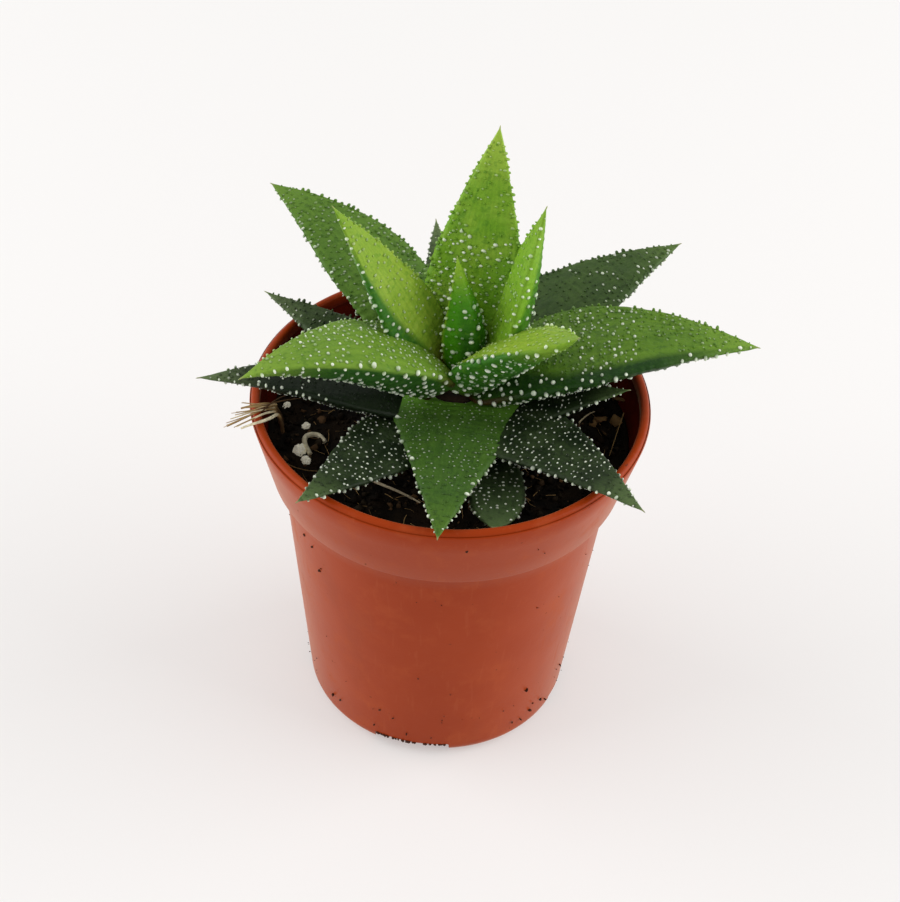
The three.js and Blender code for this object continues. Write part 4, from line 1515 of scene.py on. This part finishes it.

# %% [markdown]
# The tuft is a bundle of old roots that grew out over the rim and dried. Its strands start
# in the peat, climb the inner wall, lie on the lip and fray outside it. The thick ones are
# set one by one, and a few hairs stray from them by a seeded draw.

# %% Litter: the tuft over the rim
# A strand of the tuft: its points from the peat to its free end, its radius and its shade
TUFT = [
    ([(-35.6, -2.2, 73.5), (-36.2, -4.2, 79.5), (-37.6, -6.0, 82.5), (-40.4, -7.6, 83.1),
      (-43.6, -8.7, 82.7)], 0.50, 0.52),
    ([(-35.4, -3.4, 73.5), (-36.4, -5.2, 80.0), (-38.0, -7.2, 82.9), (-40.6, -8.6, 83.3),
      (-43.2, -9.0, 83.2)], 0.42, 0.64),
    ([(-35.2, -5.0, 73.5), (-35.7, -6.6, 80.6), (-36.4, -9.6, 81.8), (-38.6, -12.6, 82.9),
      (-41.2, -13.8, 82.9), (-43.0, -14.4, 82.2)], 0.50, 0.95),
    ([(-36.8, -6.4, 81.4), (-38.4, -9.0, 83.0), (-41.4, -10.2, 83.4), (-44.0, -11.8, 83.0),
      (-45.4, -12.4, 82.9)], 0.24, 0.82),
    ([(-36.6, -7.4, 81.2), (-38.2, -9.6, 82.9), (-40.4, -12.0, 83.1), (-42.6, -13.2, 82.8),
      (-43.9, -14.2, 82.4)], 0.28, 0.88),
    ([(-36.4, -7.0, 81.0), (-38.0, -8.0, 82.9), (-40.6, -10.4, 83.1), (-43.4, -12.4, 82.6),
      (-46.0, -13.6, 81.8)], 0.26, 0.34),
    ([(-36.4, -5.6, 81.6), (-37.8, -7.0, 82.8), (-40.2, -9.6, 83.5), (-42.8, -10.8, 83.3),
      (-44.6, -11.2, 83.0)], 0.22, 0.72),
    ([(-39.6, -8.4, 82.9), (-37.4, -6.8, 83.3), (-34.2, -4.8, 82.4), (-31.6, -3.0, 81.4)],
     0.20, 0.14),
    ([(-39.0, -9.4, 82.9), (-37.0, -6.0, 83.2), (-35.4, -3.6, 82.6), (-33.0, -2.2, 81.8)],
     0.18, 0.10),
]
# The tuft is dark below one height and pale above another. Its strands taper to a share of
# their radius, and only so many of them reach over the rim.
DARK_BELOW = 78
PALE_ABOVE = 82.6
DARKEST = 0.15
TUFT_TAPER = 0.4
OVER_THE_RIM = 7
# The hairs that stray from those strands: how many, how far their free ends wander along
# each axis, and their radius, taper and shade
HAIRS = dict(
    count=9, wander=((-0.8, 0.3), (-1.6, 1.6), (0.1, 0.8)), radius=(0.09, 0.16), taper=0.5,
    shade=(0.4, 0.8),
)

bm, tone = toned_bmesh()
draw = random.Random(93)
for points, radius, shade in TUFT:
    add_strand(bm, tone, points, radius, TUFT_TAPER, shade)
for _ in range(HAIRS["count"]):
    points = draw.choice(TUFT[:OVER_THE_RIM])[0][2:]
    wander = Vector([draw.uniform(*span) for span in HAIRS["wander"]])
    stray = [
        Vector(point) + wander * step / (len(points) - 1) for step, point in enumerate(points)
    ]
    radius = draw.uniform(*HAIRS["radius"])
    add_strand(bm, tone, stray, radius, HAIRS["taper"], draw.uniform(*HAIRS["shade"]))
for vert in bm.verts:
    vert[tone] *= DARKEST + (1 - DARKEST) * smooth_step(vert.co.z, DARK_BELOW, PALE_ABOVE)
finish_piece(bm, "rim_tuft", straw, "stem_bark", turn_out=False)
print("tuft triangles:", made_triangles["rim_tuft"])

# %% [markdown]
# Flakes of bark are knobbly lumps pressed flat. The dirt on the wall is made the same way,
# each speck sunk a little into the plastic, so that none floats beside the pot. A dark crust
# of lumps hangs under the top of the front notch, thickest at its left end: partly peat,
# partly painted shade for the shadow under the pot there.

# %% Litter: bark flakes and specks on the wall
# A flake: its place on the peat, its lift and its half sizes
FLAKES = [
    (35.9, 5.2, 1.2, (1.7, 1.4, 0.45)), (36.4, 11.6, 2.2, (1.6, 1.0, 0.45)),
    (32.6, 7.0, 0.8, (1.5, 0.9, 0.4)), (31.4, 5.6, 0.3, (1.2, 0.8, 0.4)),
    (-35.9, -0.9, 0.5, (0.9, 0.7, 0.5)), (30.2, -11.6, 0.3, (0.9, 0.6, 0.35)),
    (24.6, -22.4, 0.3, (0.8, 0.5, 0.35)), (33.4, 2.0, 0.3, (1.0, 0.6, 0.3)),
]
TAN_FLAKES = 4
TAN_TONE = 0.98
BROWN_TONE = 0.90
# A speck: its bearing, its height and its size
SPECKS = [
    (213, 57, 0.50), (218, 56, 0.42), (221, 50, 0.52), (222, 51, 0.30), (237.5, 64.8, 0.40),
    (317, 6.6, 0.50), (329, 4.9, 0.45), (312, 5.3, 0.45), (312, 16.2, 0.55), (220, 6.7, 0.45),
    (225, 7.3, 0.35), (338, 12.5, 0.45), (277, 76.6, 0.45), (318, 8.8, 0.32), (324, 7.4, 0.40),
    (307, 6.0, 0.35), (247, 12.5, 0.32), (253, 11.0, 0.28), (259, 6.2, 0.35), (244, 6.0, 0.30),
]
# Finer specks, drawn: their count, the share that lies low on the wall, the heights of those
# and of the rest, and their size. None is set on the step under the band.
FINE_SPECKS = dict(count=90, share_low=0.45, low=(4, 16), rest=(6, 78), size=(0.10, 0.22))
STEP_CLEARANCE = 1.5
# The crust of peat and painted shade under the notch: its lumps, their size, how far from
# the notch's middle it starts and ends as shares of half the notch, how much it gathers at
# the left, how much finer it gets to the right, and how deep it sits in the wall and below
# the notch's top
NOTCH_CRUST_AND_SHADE = dict(
    lumps=34, size=(0.26, 0.44), start=0.95, span=1.9, gather=1.25, finer=0.25, deep=0.3,
    below=0.1,
)
# The half sizes of a speck and of a lump of the notch's crust and painted shade, as factors
# on the size, before it is turned
SPECK_FORM = (1, 0.8, 0.45)
NOTCH_CRUST_AND_SHADE_FORM = (1, 1, 0.7)

bm, tone = toned_bmesh()
for number, (x, y, lift, radii) in enumerate(FLAKES):
    place = on_peat(x, y, lift - STRAW_REST)
    lump = knobbly(bm, place, radii, rough=1.0, size=0.6, seed=300 + number, subdivisions=2)
    for vert in lump:
        vert[tone] = TAN_TONE if number < TAN_FLAKES else BROWN_TONE
finish_piece(bm, "bark_flakes", peat_finish("bark_flake", toned=True), "soil_mix")

bm = bmesh.new()
draw = random.Random(51)
specks = list(SPECKS)
for _ in range(FINE_SPECKS["count"]):
    low_down = draw.random() < FINE_SPECKS["share_low"]
    height = draw.uniform(*FINE_SPECKS["low" if low_down else "rest"])
    specks.append((draw.uniform(0, 360), height, draw.uniform(*FINE_SPECKS["size"])))
for number, (bearing, height, size) in enumerate(specks):
    if abs(height - band_foot_height) < STEP_CLEARANCE:
        continue
    centre = polar(outer_wall(height), bearing, height)
    radii = [size * share for share in SPECK_FORM]
    knobbly(bm, centre, radii, rough=0.6, size=0.8, seed=400 + number)
# The crust under the front notch: peat lumps that also paint the shadow under the pot
notch_reach = math.degrees(NOTCH["width"] / 2 / POT["base"])
for number in range(NOTCH_CRUST_AND_SHADE["lumps"]):
    to_right = NOTCH_CRUST_AND_SHADE["span"] * draw.random() ** NOTCH_CRUST_AND_SHADE["gather"] - NOTCH_CRUST_AND_SHADE["start"]
    size = draw.uniform(*NOTCH_CRUST_AND_SHADE["size"]) * (1 - NOTCH_CRUST_AND_SHADE["finer"] * to_right)
    centre = polar(
        outer_wall(NOTCH["height"]) - NOTCH_CRUST_AND_SHADE["deep"], NOTCH["first"] + to_right * notch_reach,
        NOTCH["height"] - NOTCH_CRUST_AND_SHADE["below"],
    )
    radii = [size * share for share in NOTCH_CRUST_AND_SHADE_FORM]
    knobbly(bm, centre, radii, rough=0.6, size=0.8, seed=600 + number)
# One dark dirt for the specks and for the crust, whose lumps also paint shade
dirt_and_shade_dots = Finish("dried_dirt_and_shade", Specular_IOR_Level=0.2)
crust = dirt_and_shade_dots.grain(0.3, detail=2).between(0.3, 0.7)
dirt_and_shade_dots.wear(
    Base_Color=dirt_and_shade_dots.mix(crust, (0.030, 0.008, 0.004), (0.075, 0.022, 0.010)),
    Roughness=0.8 + crust * 0.1,
)
finish_piece(bm, "wall_specks_and_notch_shade", dirt_and_shade_dots.material, "soil_mix")
print("specks on the wall:", len(specks))

# %% [markdown]
# ## The end
#
# The triangles of all the finished pieces are counted.

# %% The end
print("triangles made:", sum(made_triangles.values()))
